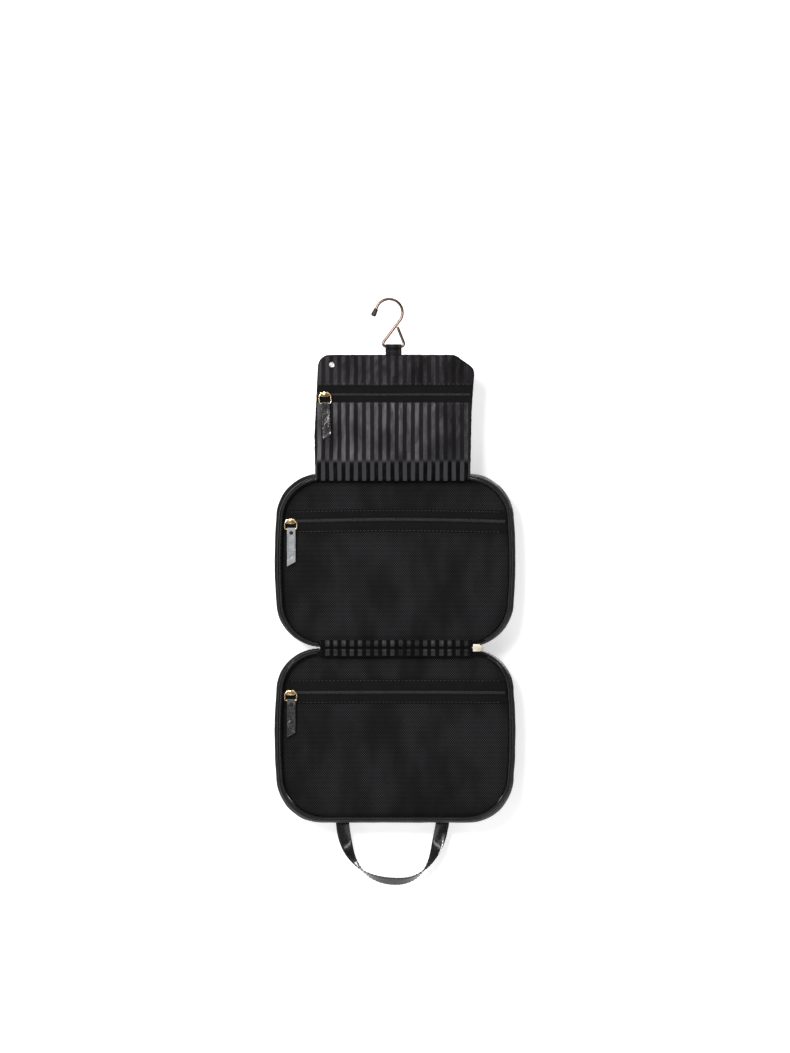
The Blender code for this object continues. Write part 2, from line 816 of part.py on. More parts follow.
def open_chain(outline, hinge_z):
    """The outline without the stretch along the hinge edge between the chain's ends."""

    def crossing(level):
        for i, (x1, z1) in enumerate(outline):
            x0, z0 = outline[i - 1]
            near = abs(z1 - hinge_z) < 12.0 and abs(z0 - hinge_z) < 12.0
            if near and (x0 - level) * (x1 - level) < 0:
                return (level, z0 + (z1 - z0) * (level - x0) / (x1 - x0))
        raise ValueError("the chain's end misses the outline")

    def on_hinge_edge(x, z):
        return abs(z - hinge_z) < 12.0 and CHAIN_END_LEFT_X < x < CHAIN_END_RIGHT_X

    count = len(outline)
    keep = [not on_hinge_edge(x, z) for x, z in outline]
    start = next(i for i in range(count) if keep[i] and not keep[i - 1])
    order = [(start + k) % count for k in range(count)]
    path = [outline[i] for i in order if keep[i]]
    if path[0][0] > path[-1][0]:
        path.reverse()
    return [crossing(CHAIN_END_LEFT_X)] + path + [crossing(CHAIN_END_RIGHT_X)]


def make_hinge_strips(upper, lower):
    for name, z1, z0, parent in (
        ("hinge_strip_upper", TRAY_HINGE_Z + STRIP_REACH, TRAY_HINGE_Z + GAP, upper),
        ("hinge_strip_lower", TRAY_HINGE_Z - GAP, TRAY_HINGE_Z - STRIP_REACH, lower),
    ):
        outline = [
            (STRIP_X[0], z0),
            (STRIP_X[1], z0),
            (STRIP_X[1], z1),
            (STRIP_X[0], z1),
        ]
        plate(name, [outline], STRIP_Y, SATIN, parent)


def make_main_slider(hinge):
    z = TRAY_HINGE_Z
    low, high = MAIN_SLIDER_Z
    left, shoulder, nose = MAIN_SLIDER_X
    shield = [
        (left, z + low),
        (shoulder, z + low),
        (nose, z - 1.2),
        (nose, z + 1.2),
        (shoulder, z + high),
        (left, z + high),
    ]
    slider = plate("main_zip_slider", [shield], MAIN_SLIDER_Y, GOLD, hinge)
    slider = as_mesh(slider)
    tools = []
    for side, word in ((-1, "low"), (1, "high")):
        near, far = z + side * 1.75, z + side * 2.3
        tools.append(
            box(
                "main_ear_" + word,
                (MAIN_PIN_X - 1.8, MAIN_SLIDER_Y[1] - 0.2, min(near, far)),
                (MAIN_PIN_X + 1.0, MAIN_PIN_Y + 0.8, max(near, far)),
                CUTTERS,
            )
        )
    tools.append(
        cylinder(
            "main_pin", (MAIN_PIN_X, MAIN_PIN_Y, z), 0.6, 4.0, "Z", CUTTERS, 12
        )
    )
    boolean(slider, "UNION", tools)
    swing = pivot("main_pull_swing", (MAIN_PIN_X, MAIN_PIN_Y, z))
    curve = bpy.data.curves.new("main_zip_pull", "CURVE")
    curve.dimensions = "2D"
    curve.fill_mode = "BOTH"
    tail = PULL_THICK / 2
    meet = math.degrees(math.asin(tail / 1.5))
    outline = arc_points((0.0, 0.0), 1.5, 90 + meet, 450 - meet, 14)
    end = MAIN_PULL_END_Y - MAIN_PIN_Y
    outline += [(tail, end), (-tail, end)]
    hole = arc_points((0.0, 0.0), PULL_HOLE_R, 0, 324, 9)
    spline(curve, [(x, y, 0.0) for x, y in outline], True)
    spline(curve, [(x, y, 0.0) for x, y in hole], True)
    curve.extrude = MAIN_PULL_HALF * MM
    pull = bpy.data.objects.new("main_zip_pull", curve)
    PARTS.objects.link(pull)
    pull.data.materials.append(PATENT)
    pull.parent = swing


# the handle


def make_handle(lower):
    swing = pivot("handle_hinge", (0.0, HANDLE_Y, HANDLE_PIVOT_Z))
    path = []
    for curve in (HANDLE_LEFT, HANDLE_RIGHT):
        knots = [Vector((x, 0.0, z)) for x, z in curve]
        points = interpolate_bezier(knots[0], knots[1], knots[2], knots[3], HANDLE_STEPS)
        path += points[1:] if path else points
    lengths = [0.0]
    for a, b in zip(path, path[1:]):
        lengths.append(lengths[-1] + (b - a).length)
    total = lengths[-1]
    sections = []
    for i, point in enumerate(path):
        ahead = path[min(i + 1, len(path) - 1)]
        behind = path[max(i - 1, 0)]
        along = (ahead - behind).normalized()
        if point in (path[0], path[-1]):
            along = Vector((0.0, 0.0, math.copysign(1.0, along.z)))
        inward = Vector((-along.z, 0.0, along.x))
        s = lengths[i] / total
        twist = math.radians(HANDLE_BOTTOM_TWIST_DEG) * math.sin(math.pi * s) ** 1.6
        across = inward * math.cos(twist) + Vector((0.0, 1.0, 0.0)) * math.sin(twist)
        through = along.cross(across).normalized()
        w, t = HANDLE_WIDTH / 2, HANDLE_THICK / 2
        ring = []
        for a, b in ((-w, -t), (w, -t), (w, t), (-w, t)):
            ring.append(point + across * a + through * b + Vector((0.0, HANDLE_Y, 0.0)))
        sections.append(ring)
    loft("handle_strap", sections, True, PATENT, swing)
    for name, x in (
        ("handle_anchor_left", HANDLE_LEFT[0][0]),
        ("handle_anchor_right", HANDLE_RIGHT[3][0]),
    ):
        w, d, t = ANCHOR_SIZE
        low = (x - w / 2, HANDLE_Y - d / 2, ANCHOR_TOP_Z - t)
        high = (x + w / 2, HANDLE_Y + d / 2, ANCHOR_TOP_Z)
        finish(name, box(name, low, high, PARTS), PATENT, lower)


make_hook()
make_flap()
make_pull_set(
    "flap_zip",
    (FLAP_SLIDER_X, FLAP_ZIP_Z),
    (FLAP_COIL_FRONT_Y, FLAP_TAPE_Y[0], FLAP_COIL_HALF),
    (11.8, 10.8, 4.0, 1.4, 0.0),
    (8.4, 34.0, FLAP_SLIDER_X),
    FLAP_PULL_TILT_DEG,
)
UPPER = make_tray(
    "upper",
    UPPER_FAR_Z,
    UPPER_HINGE_Z,
    UPPER_R,
    UPPER_ZIP_Z,
    UPPER_TAPE_SPAN,
    (0.0, FLAP_HINGE_Y, FLAP_HINGE_Z),
)
LOWER = make_tray(
    "lower",
    LOWER_FAR_Z,
    LOWER_HINGE_Z,
    LOWER_R,
    LOWER_ZIP_Z,
    LOWER_TAPE_SPAN,
    (0.0, TRAY_HINGE_Y, TRAY_HINGE_Z),
)
for prefix, zip_z, length in (
    ("upper_pocket", UPPER_ZIP_Z, 35.0),
    ("lower_pocket", LOWER_ZIP_Z, 34.5),
):
    make_pull_set(
        prefix,
        (TRAY_SLIDER_X, zip_z),
        (POCKET_COIL_FRONT_Y, POCKET_TAPE_Y[0], POCKET_COIL_HALF),
        (12.0, 9.4, 4.0, 1.4, 0.0),
        (8.4, length, TRAY_SLIDER_X + 0.6),
        0.0,
    )
make_hinge_strips(UPPER, LOWER)
make_main_slider(UPPER)
make_handle(LOWER)
bpy.context.view_layer.update()
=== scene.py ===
import math

import bmesh
import bpy
import numpy as np
from mathutils import Matrix, Vector, noise
from mathutils.geometry import delaunay_2d_cdt, interpolate_bezier

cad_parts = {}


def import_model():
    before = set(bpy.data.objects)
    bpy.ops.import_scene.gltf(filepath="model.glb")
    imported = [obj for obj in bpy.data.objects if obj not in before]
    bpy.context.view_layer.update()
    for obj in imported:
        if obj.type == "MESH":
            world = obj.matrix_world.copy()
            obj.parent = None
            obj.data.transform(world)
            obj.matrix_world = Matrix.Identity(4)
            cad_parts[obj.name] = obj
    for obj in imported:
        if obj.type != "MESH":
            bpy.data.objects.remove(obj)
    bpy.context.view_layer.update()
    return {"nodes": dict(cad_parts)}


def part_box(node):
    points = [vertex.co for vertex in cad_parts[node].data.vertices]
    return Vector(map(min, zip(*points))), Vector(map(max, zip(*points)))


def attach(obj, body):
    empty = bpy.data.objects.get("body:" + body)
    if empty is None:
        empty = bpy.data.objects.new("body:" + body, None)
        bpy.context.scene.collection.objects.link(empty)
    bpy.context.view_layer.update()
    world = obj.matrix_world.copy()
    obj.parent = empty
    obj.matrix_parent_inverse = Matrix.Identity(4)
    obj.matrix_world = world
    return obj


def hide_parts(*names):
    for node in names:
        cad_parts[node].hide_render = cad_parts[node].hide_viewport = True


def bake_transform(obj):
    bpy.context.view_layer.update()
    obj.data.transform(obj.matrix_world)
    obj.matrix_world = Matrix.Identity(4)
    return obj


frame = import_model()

NODES = frame["nodes"]

# The bag's own axes, in millimetres: X from the middle to the right, Y from the
# rims' plane to the back, Z up from the inside top of the hook.
MM = 0.001
_low, _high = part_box("upper_gusset")
SHIFT_X = (_low[0] + _high[0]) / 2
SHIFT_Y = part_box("upper_back_panel")[1][1] - 0.038


def world(x, y, z):
    return (x * MM + SHIFT_X, y * MM + SHIFT_Y, z * MM)


# ---------------------------------------------------------------- constants

# the hook: its plane, its wire, the bow's middle and radius, and the bar in the tab
HOOK_Y = -7.3
WIRE_R = 1.4
BOW = (-5.8, -11.9)
BOW_R = 13.3
BAR_Z = -46.0
TIP_DIR = Vector((-0.417, -0.909)).normalized()

# the flap: its corners as X, Z and radius, its cloth's middle and half thickness,
# its zip and the window round the zip
FLAP_TOP = -54.0
FLAP_BOTTOM = -179.9
FLAP_CORNERS = (
    (-76.5, FLAP_TOP, 12.0),
    (60.0, FLAP_TOP, 10.0),
    (79.5, -68.0, 9.0),
    (76.5, -110.0, 60.0),
    (75.0, FLAP_BOTTOM, 4.0),
    (-79.5, FLAP_BOTTOM, 4.0),
    (-80.5, -135.0, 60.0),
)
FLAP_MID_Y = -2.95
FLAP_HALF = 1.2
FLAP_ZIP = -93.6
WINDOW_TOP = -84.8
WINDOW_BOTTOM = -101.5

SNAP = (-63.0, -64.0)

# the trays: far edge, hinge edge, radii of the upper and lower corners, and the
# pocket zip with its tape's edges, its bow and its pull's length
TRAY_HALF = 116.6
TRAY_BOW = 1.6
TRAYS = {
    "upper": dict(far=-174.9, hinge=-346.3, radii=(45.0, 46.0), zip=-220.5,
                  tape=(-210.0, -232.5), bow=2.2, pull=35.0),
    "lower": dict(far=-520.1, hinge=-348.7, radii=(42.0, 46.0), zip=-391.9,
                  tape=(-379.0, -403.0), bow=0.5, pull=34.5),
}
# how far a gusset stands out at each depth
GUSSET = ((0.3, 0.0), (4.0, 1.4), (10.0, 2.6), (20.0, 2.9), (29.0, 2.3), (35.3, 0.6))
SEAM_OUT_Y = {"front": 3.4, "back": 31.9}
HINGE_Z = -347.5
STRIPE_PITCH = 8.15
STRIPE_X = -2.4
BACK_Y, PIPING_Y, LINING_Y = 37.2, 37.05, 33.6
NET_Y, POCKET_TAPE_Y, POCKET_COIL_Y = 6.3, 5.35, 4.75
POCKET_REACH = 111.5
MAIN_PIN = (86.8, -0.6)

# the carrying strap
HANDLE_Y = 31.0
HANDLE_HALF = 6.5
HANDLE_THICK = 0.62
HANDLE_TWIST = 130.0
HANDLE_ENDS = {"left": -53.0, "right": 48.0}

FLOOR_Z = -0.92
DEPTH = Vector((0, 1, 0))
TO_FRONT, TO_BACK = (0, -1, 0), (0, 1, 0)


def smooth(a, b, x):
    t = min(max((x - a) / (b - a), 0.0), 1.0)
    return t * t * (3 - 2 * t)


def lumps(x, y, z, size, seed=0.0):
    """Smooth noise from -1 to 1 with lumps of about that size in millimetres."""
    return noise.noise(Vector((x / size + seed, y / size + 7.1, z / size - seed)))


# ---------------------------------------------------------------- outlines

def fillet(points, radii, steps):
    out = []
    count = len(points)
    for i, (corner, radius) in enumerate(zip(points, radii)):
        if radius <= 0:
            out.append(tuple(corner))
            continue
        here = Vector(corner)
        back = (Vector(points[i - 1]) - here).normalized()
        ahead = (Vector(points[(i + 1) % count]) - here).normalized()
        half = back.angle(ahead) / 2
        reach = radius / math.tan(half)
        middle = here + (back + ahead).normalized() * radius / math.sin(half)
        start = here + back * reach - middle
        turn = start.angle_signed(here + ahead * reach - middle)
        for k in range(steps + 1):
            spoke = start.copy()
            spoke.rotate(Matrix.Rotation(-turn * k / steps, 2))
            out.append(tuple(middle + spoke))
    return out


def resample(points, spacing, closed=True):
    """Points at even steps along a line through the given ones."""
    pts = [Vector(p) for p in points]
    if closed:
        pts.append(pts[0])
    lengths = [0.0]
    for a, b in zip(pts, pts[1:]):
        lengths.append(lengths[-1] + (b - a).length)
    count = max(int(round(lengths[-1] / spacing)), 3)
    out, j = [], 0
    for k in range(count if closed else count + 1):
        s = lengths[-1] * k / count
        while j < len(pts) - 2 and lengths[j + 1] < s:
            j += 1
        span = lengths[j + 1] - lengths[j]
        t = 0.0 if span == 0 else (s - lengths[j]) / span
        out.append(tuple(pts[j].lerp(pts[j + 1], t)))
    return out


def keep_side(points, level, above):
    out = []
    sign = 1 if above else -1
    for i, (x1, z1) in enumerate(points):
        x0, z0 = points[i - 1]
        inside0, inside1 = sign * (z0 - level) >= 0, sign * (z1 - level) >= 0
        if inside0 != inside1:
            t = (level - z0) / (z1 - z0)
            out.append((x0 + (x1 - x0) * t, level))
        if inside1:
            out.append((x1, z1))
    return out


def polygon_area(points):
    total = 0.0
    for i, (x1, y1) in enumerate(points):
        x0, y0 = points[i - 1]
        total += x0 * y1 - x1 * y0
    return total / 2


def tray_outline(far_z, hinge_z, radii, out, hinge_out=None):
    """A tray's outline at a distance out from its rim, anticlockwise."""
    sign = 1 if far_z > hinge_z else -1
    far = far_z + sign * out
    hinge = hinge_z - sign * out if out < 0 else hinge_z
    if hinge_out is not None:
        hinge = hinge_z - sign * hinge_out
    top, bottom = max(far, hinge), min(far, hinge)
    half = TRAY_HALF + out
    r_top, r_bottom = radii[0] + min(out, 0.0), radii[1] + min(out, 0.0)
    low, high = bottom + r_bottom, top - r_top
    side = []
    for k in range(1, 24):
        t = k / 24
        side.append((half + TRAY_BOW * 4 * t * (1 - t), low + (high - low) * t))

    def arc(cx, cz, r, start):
        return [
            (cx + r * math.cos(math.radians(start + 90 * k / 20)),
             cz + r * math.sin(math.radians(start + 90 * k / 20)))
            for k in range(21)
        ]

    def level(x0, x1, z):
        return [(x0 + (x1 - x0) * k / 40, z) for k in range(1, 40)]

    left = [(-x, z) for x, z in reversed(side)]
    return (
        side
        + arc(half - r_top, high, r_top, 0)
        + level(half - r_top, -half + r_top, top)
        + arc(-half + r_top, high, r_top, 90)
        + left
        + arc(-half + r_bottom, low, r_bottom, 180)
        + level(-half + r_bottom, half - r_bottom, bottom)
        + arc(half - r_bottom, low, r_bottom, 270)
    )


# ---------------------------------------------------------------- meshes

def make_mesh(name, verts, faces, mat, uvs=None, flat=False):
    """A mesh object from points in the bag's axes. uvs holds one pair per vertex."""
    mesh = bpy.data.meshes.new(name)
    mesh.from_pydata([world(*v) for v in verts], [], faces)
    if uvs is not None:
        layer = mesh.uv_layers.new(name="UVMap")
        for loop in mesh.loops:
            layer.data[loop.index].uv = uvs[loop.vertex_index]
    mesh.validate()
    if not flat:
        mesh.shade_smooth()
    obj = bpy.data.objects.new(name, mesh)
    bpy.context.scene.collection.objects.link(obj)
    mesh.materials.append(mat)
    return obj


def loft(name, rings, mat, close_rings=False, caps=False, cyclic=True):
    """Skin between rows of equal length. close_rings joins the last row to the first."""
    verts = [p for ring in rings for p in ring]
    n, m = len(rings[0]), len(rings)
    faces = []
    for a in range(m if close_rings else m - 1):
        b = (a + 1) % m
        for i in range(n if cyclic else n - 1):
            j = (i + 1) % n
            faces.append((a * n + i, a * n + j, b * n + j, b * n + i))
    if caps:
        faces.append(tuple(reversed(range(n))))
        faces.append(tuple((m - 1) * n + i for i in range(n)))
    uvs = []
    across = 0.0
    for a, ring in enumerate(rings):
        if a:
            across += (Vector(rings[a][0]) - Vector(rings[a - 1][0])).length
        run = 0.0
        for i, p in enumerate(ring):
            if i:
                run += (Vector(p) - Vector(ring[i - 1])).length
            uvs.append((run * 0.01, across * 0.01))
    obj = make_mesh(name, verts, faces, mat, uvs)
    bm = bmesh.new()
    bm.from_mesh(obj.data)
    bmesh.ops.recalc_face_normals(bm, faces=bm.faces)
    bm.to_mesh(obj.data)
    bm.free()
    return obj


def thicken(obj, thickness, offset=0.0):
    solid = obj.modifiers.new("thickness", "SOLIDIFY")
    solid.thickness = thickness * MM
    solid.offset = offset
    return obj


def soften(obj, width, segments=2, angle=30.0):
    """Round the edges that turn by more than the angle, in degrees."""
    bevel = obj.modifiers.new("soft_edges", "BEVEL")
    bevel.width, bevel.segments = width * MM, segments
    bevel.limit_method, bevel.angle_limit = "ANGLE", math.radians(angle)
    return bevel


def frames(path, closed, up):
    """Tangent, normal and binormal at each point of a path of Vectors."""
    n = len(path)
    out = []
    normal = None
    for i in range(n):
        if closed:
            tangent = path[(i + 1) % n] - path[i - 1]
        else:
            tangent = path[min(i + 1, n - 1)] - path[max(i - 1, 0)]
        tangent.normalize()
        if up is not None:
            normal = tangent.cross(up).normalized()
            binormal = up
        else:
            if normal is None:
                guide = Vector((0, 1, 0)) if abs(tangent.y) < 0.9 else Vector((1, 0, 0))
                normal = tangent.cross(guide).normalized()
            normal = (normal - tangent * normal.dot(tangent)).normalized()
            binormal = tangent.cross(normal)
        out.append((tangent, normal, binormal))
    return out


def tube(name, path, radius, mat, sides=12, closed=False, up=None, squeeze=1.0, round_ends=False):
    """A round bar along a path. radius is a number, or a function of the share of its length."""
    pts = [Vector(p) for p in path]
    shares = [i / (len(pts) - 1) for i in range(len(pts))]
    size = radius if callable(radius) else (lambda t: radius)
    radii = [size(t) for t in shares]
    if round_ends and not closed:
        first = (pts[0] - pts[1]).normalized()
        last = (pts[-1] - pts[-2]).normalized()
        head, tail, head_r, tail_r = [], [], [], []
        for k in range(4):
            a = math.pi / 2 * k / 4
            head.append(pts[0] + first * radii[0] * math.cos(a))
            head_r.append(max(radii[0] * math.sin(a), 0.02))
            tail.append(pts[-1] + last * radii[-1] * math.cos(a))
            tail_r.append(max(radii[-1] * math.sin(a), 0.02))
        pts = head + pts + tail[::-1]
        radii = head_r + radii + tail_r[::-1]
    rings = []
    for p, r, (t, n, b) in zip(pts, radii, frames(pts, closed, up)):
        ring = []
        for k in range(sides):
            a = 2 * math.pi * k / sides
            ring.append(tuple(p + n * r * math.cos(a) + b * r * squeeze * math.sin(a)))
        rings.append(ring)
    return loft(name, rings, mat, close_rings=closed, caps=not closed)


def helix(path, pitch, wide, deep, closed, up, steps=8, phase=0.0):
    """A coil's centre line round a path: wide across it in its plane, deep along up."""
    base = [Vector(p) for p in resample(path, pitch / steps, closed)]
    out = []
    for i, (p, (_, n, b)) in enumerate(zip(base, frames(base, closed, up))):
        a = 2 * math.pi * i / steps + phase
        out.append(p + n * wide * math.cos(a) + b * deep * math.sin(a))
    return out


def join(name, objects):
    """One object from several meshes."""
    bm = bmesh.new()
    for o in objects:
        bm.from_mesh(o.data)
    mesh = bpy.data.meshes.new(name)
    bm.to_mesh(mesh)
    bm.free()
    for m in objects[0].data.materials:
        mesh.materials.append(m)
    for o in objects:
        bpy.data.objects.remove(o, do_unlink=True)
    obj = bpy.data.objects.new(name, mesh)
    bpy.context.scene.collection.objects.link(obj)
    return obj


def stitches(name, path, mat, length=2.7, gap=1.5, radius=0.24, closed=False, dip=0.35):
    """A row of sewn stitches along a path, each a small bar whose ends dive into the cloth.

    path is a list of (point, outward direction) pairs.
    """
    pts = [Vector(p) for p, _ in path]
    outs = [Vector(d).normalized() for _, d in path]
    if closed:
        pts.append(pts[0])
        outs.append(outs[0])
    lengths = [0.0]
    for a, b in zip(pts, pts[1:]):
        lengths.append(lengths[-1] + (b - a).length)
    total = lengths[-1]
    count = int(total / (length + gap))
    step = total / count
    share = length / (length + gap)

    def at(s):
        j = min(max(np.searchsorted(lengths, s) - 1, 0), len(pts) - 2)
        t = (s - lengths[j]) / max(lengths[j + 1] - lengths[j], 1e-9)
        return pts[j].lerp(pts[j + 1], t), outs[j].lerp(outs[j + 1], t)

    verts, faces = [], []
    sides = 6
    profile = ((0.0, 0.45, -dip), (0.18, 0.95, 0.0), (0.5, 1.0, 0.06), (0.82, 0.95, 0.0), (1.0, 0.45, -dip))
    for c in range(count):
        s0 = c * step + step * (1 - share) / 2
        ahead = at(s0 + step * share)[0] - at(s0)[0]
        ahead.normalize()
        base = len(verts)
        for t, size, lift in profile:
            p, d = at(s0 + step * share * t)
            side = ahead.cross(d).normalized()
            centre = p + d * (lift + radius * 0.4)
            for k in range(sides):
                a = 2 * math.pi * k / sides
                verts.append(tuple(centre + (side * math.cos(a) * 1.15 + d * math.sin(a)) * radius * size))
        for r in range(len(profile) - 1):
            for k in range(sides):
                j = (k + 1) % sides
                faces.append((base + r * sides + k, base + r * sides + j,
                              base + (r + 1) * sides + j, base + (r + 1) * sides + k))
        faces.append(tuple(base + k for k in reversed(range(sides))))
        faces.append(tuple(base + (len(profile) - 1) * sides + k for k in range(sides)))
    return make_mesh(name, verts, faces, mat)


def panel(name, outline, spacing, surface, mat, thickness=0.5, offset=0.0):
    """A sheet inside an outline in X and Z. surface(x, z, edge distance) gives (x, y, z)."""
    if polygon_area(outline) < 0:
        outline = outline[::-1]
    rim = resample(outline, spacing, True)
    rim_array = np.array(rim)
    nxt = np.roll(rim_array, -1, axis=0)
    seg = nxt - rim_array
    seg_len2 = (seg ** 2).sum(1)

    def distances(points):
        p = np.array(points)[:, None, :]
        t = np.clip(((p - rim_array) * seg).sum(2) / seg_len2, 0, 1)
        near = rim_array + t[:, :, None] * seg
        return np.sqrt(((p - near) ** 2).sum(2)).min(1)

    def inside(points):
        p = np.array(points)
        x, z = p[:, 0][:, None], p[:, 1][:, None]
        x0, z0, x1, z1 = rim_array[:, 0], rim_array[:, 1], nxt[:, 0], nxt[:, 1]
        cross = ((z0 > z) != (z1 > z)) & (
            x < (x1 - x0) * (z - z0) / np.where(z1 == z0, 1e-9, z1 - z0) + x0
        )
        return cross.sum(1) % 2 == 1

    low, high = rim_array.min(0), rim_array.max(0)
    grid = []
    rows = int((high[1] - low[1]) / spacing) + 1
    for r in range(1, rows):
        z = low[1] + (high[1] - low[1]) * r / rows
        shift = 0.25 * spacing if r % 2 else -0.25 * spacing
        cols = int((high[0] - low[0]) / spacing) + 1
        for c in range(1, cols):
            grid.append((low[0] + (high[0] - low[0]) * c / cols + shift, z))
    inner = []
    if grid:
        dist, ins = distances(grid), inside(grid)
        inner = [g for g, d, i in zip(grid, dist, ins) if i and d > spacing * 0.55]
    # rows close to the edge, so that a rounded edge is smooth
    near = []
    for inset in (0.25, 0.6, 1.1, 1.7):
        if spacing < 3 and inset < spacing:
            count = len(rim)
            for i in range(count):
                a, b = Vector(rim[i - 1]), Vector(rim[(i + 1) % count])
                t = (b - a).normalized()
                q = Vector(rim[i]) + Vector((-t.y, t.x)) * inset
                near.append(tuple(q))
    if near:
        dist, ins = distances(near), inside(near)
        near = [g for g, d, i in zip(near, dist, ins) if i and d > 0.2]
    points = [Vector(p) for p in rim + near + inner]
    edges = [(i, (i + 1) % len(rim)) for i in range(len(rim))]
    flat, _, tris, _, _, _ = delaunay_2d_cdt(points, edges, [], 1, 1e-5)
    dist = distances([tuple(p) for p in flat])
    verts = [surface(p.x, p.y, d) for p, d in zip(flat, dist)]
    uvs = [(p.x * 0.01, p.y * 0.01) for p in flat]
    obj = make_mesh(name, verts, [tuple(t) for t in tris], mat, uvs)
    if thickness:
        thicken(obj, thickness, offset)
    return obj


def lathe(name, profile, origin, axis, mat, segments=32):
    """A turned piece: profile holds (radius, height along axis) from the base to the top."""
    axis = Vector(axis).normalized()
    guide = Vector((1, 0, 0)) if abs(axis.x) < 0.9 else Vector((0, 1, 0))
    side = axis.cross(guide).normalized()
    other = axis.cross(side)
    origin = Vector(origin)
    rings = []
    for r, h in profile:
        ring = []
        for k in range(segments):
            a = 2 * math.pi * k / segments
            ring.append(tuple(origin + axis * h + side * max(r, 0.01) * math.cos(a)
                              + other * max(r, 0.01) * math.sin(a)))
        rings.append(ring)
    return loft(name, rings, mat, caps=True)


# ---------------------------------------------------------------- materials

class Shader:
    """A Principled material with short names for the nodes that feed it."""

    def __init__(self, name, color, roughness, metallic=0.0, **sockets):
        self.mat = bpy.data.materials.new(name)
        self.mat.use_nodes = True
        self.tree = self.mat.node_tree
        self.bsdf = self.tree.nodes["Principled BSDF"]
        self.bsdf.inputs["Base Color"].default_value = (*color, 1.0)
        self.bsdf.inputs["Roughness"].default_value = roughness
        self.bsdf.inputs["Metallic"].default_value = metallic
        for key, value in sockets.items():
            self.bsdf.inputs[key.replace("_", " ")].default_value = value
        coord = self.add("TexCoord")
        scale = self.add("VectorMath", operation="SCALE")
        scale.inputs["Scale"].default_value = 1000.0
        self.join(coord.outputs["Object"], scale.inputs[0])
        self.place = scale.outputs[0]  # millimetres
        parts = self.add("SeparateXYZ")
        self.join(self.place, parts.inputs[0])
        self.x, self.y, self.z = parts.outputs
        self.uv = coord.outputs["UV"]

    def add(self, kind, **props):
        node = self.tree.nodes.new("ShaderNode" + kind)
        for key, value in props.items():
            setattr(node, key, value)
        return node

    def join(self, a, b):
        self.tree.links.new(a, b)

    def put(self, value, socket):
        if isinstance(value, (int, float)):
            socket.default_value = value
        elif isinstance(value, tuple):
            socket.default_value = (*value, 1.0)
        else:
            self.join(value, socket)

    def math(self, operation, *values, clamp=False):
        node = self.add("Math", operation=operation, use_clamp=clamp)
        for socket, value in zip(node.inputs, values):
            self.put(value, socket)
        return node.outputs[0]

    def noise(self, size, detail=3.0, roughness=0.55, stretch=None):
        """Noise from 0 to 1 with lumps of that size in millimetres."""
        node = self.add("TexNoise")
        place = self.place
        if stretch:
            turn = self.add("VectorMath", operation="MULTIPLY")
            turn.inputs[1].default_value = stretch
            self.join(place, turn.inputs[0])
            place = turn.outputs[0]
        self.join(place, node.inputs["Vector"])
        node.inputs["Scale"].default_value = 1.0 / size
        node.inputs["Detail"].default_value = detail
        node.inputs["Roughness"].default_value = roughness
        return node.outputs["Fac"]

    def cells(self, size, feature="F1"):
        node = self.add("TexVoronoi", feature=feature)
        self.join(self.place, node.inputs["Vector"])
        node.inputs["Scale"].default_value = 1.0 / size
        return node.outputs["Distance"]

    def remap(self, value, a, b, c=0.0, d=1.0, smooth_step=True):
        node = self.add("MapRange")
        node.interpolation_type = "SMOOTHSTEP" if smooth_step else "LINEAR"
        self.put(value, node.inputs["Value"])
        for key, v in (("From Min", a), ("From Max", b), ("To Min", c), ("To Max", d)):
            self.put(v, node.inputs[key])
        return node.outputs["Result"]

    def mix(self, share, a, b):
        node = self.add("Mix", data_type="RGBA")
        self.put(share, node.inputs[0])
        self.put(a, node.inputs[6])
        self.put(b, node.inputs[7])
        return node.outputs[2]

    def wave(self, value, pitch, offset=0.0):
        """A cosine of value, from 0 to 1, with the given pitch."""
        turns = self.math("MULTIPLY", self.math("SUBTRACT", value, offset), 2 * math.pi / pitch)
        return self.math("MULTIPLY_ADD", self.math("COSINE", turns), 0.5, 0.5)

    def bump(self, *heights):
        """Bumps from (height, depth in millimetres) pairs, one on top of the other."""
        last = None
        for height, depth in heights:
            node = self.add("Bump")
            node.inputs["Strength"].default_value = 1.0
            node.inputs["Distance"].default_value = depth * MM
            self.put(height, node.inputs["Height"])
            if last:
                self.join(last, node.inputs["Normal"])
            last = node.outputs["Normal"]
        self.join(last, self.bsdf.inputs["Normal"])
        return self.mat

    def color(self, value):
        self.put(value, self.bsdf.inputs["Base Color"])

    def rough(self, value):
        self.put(value, self.bsdf.inputs["Roughness"])


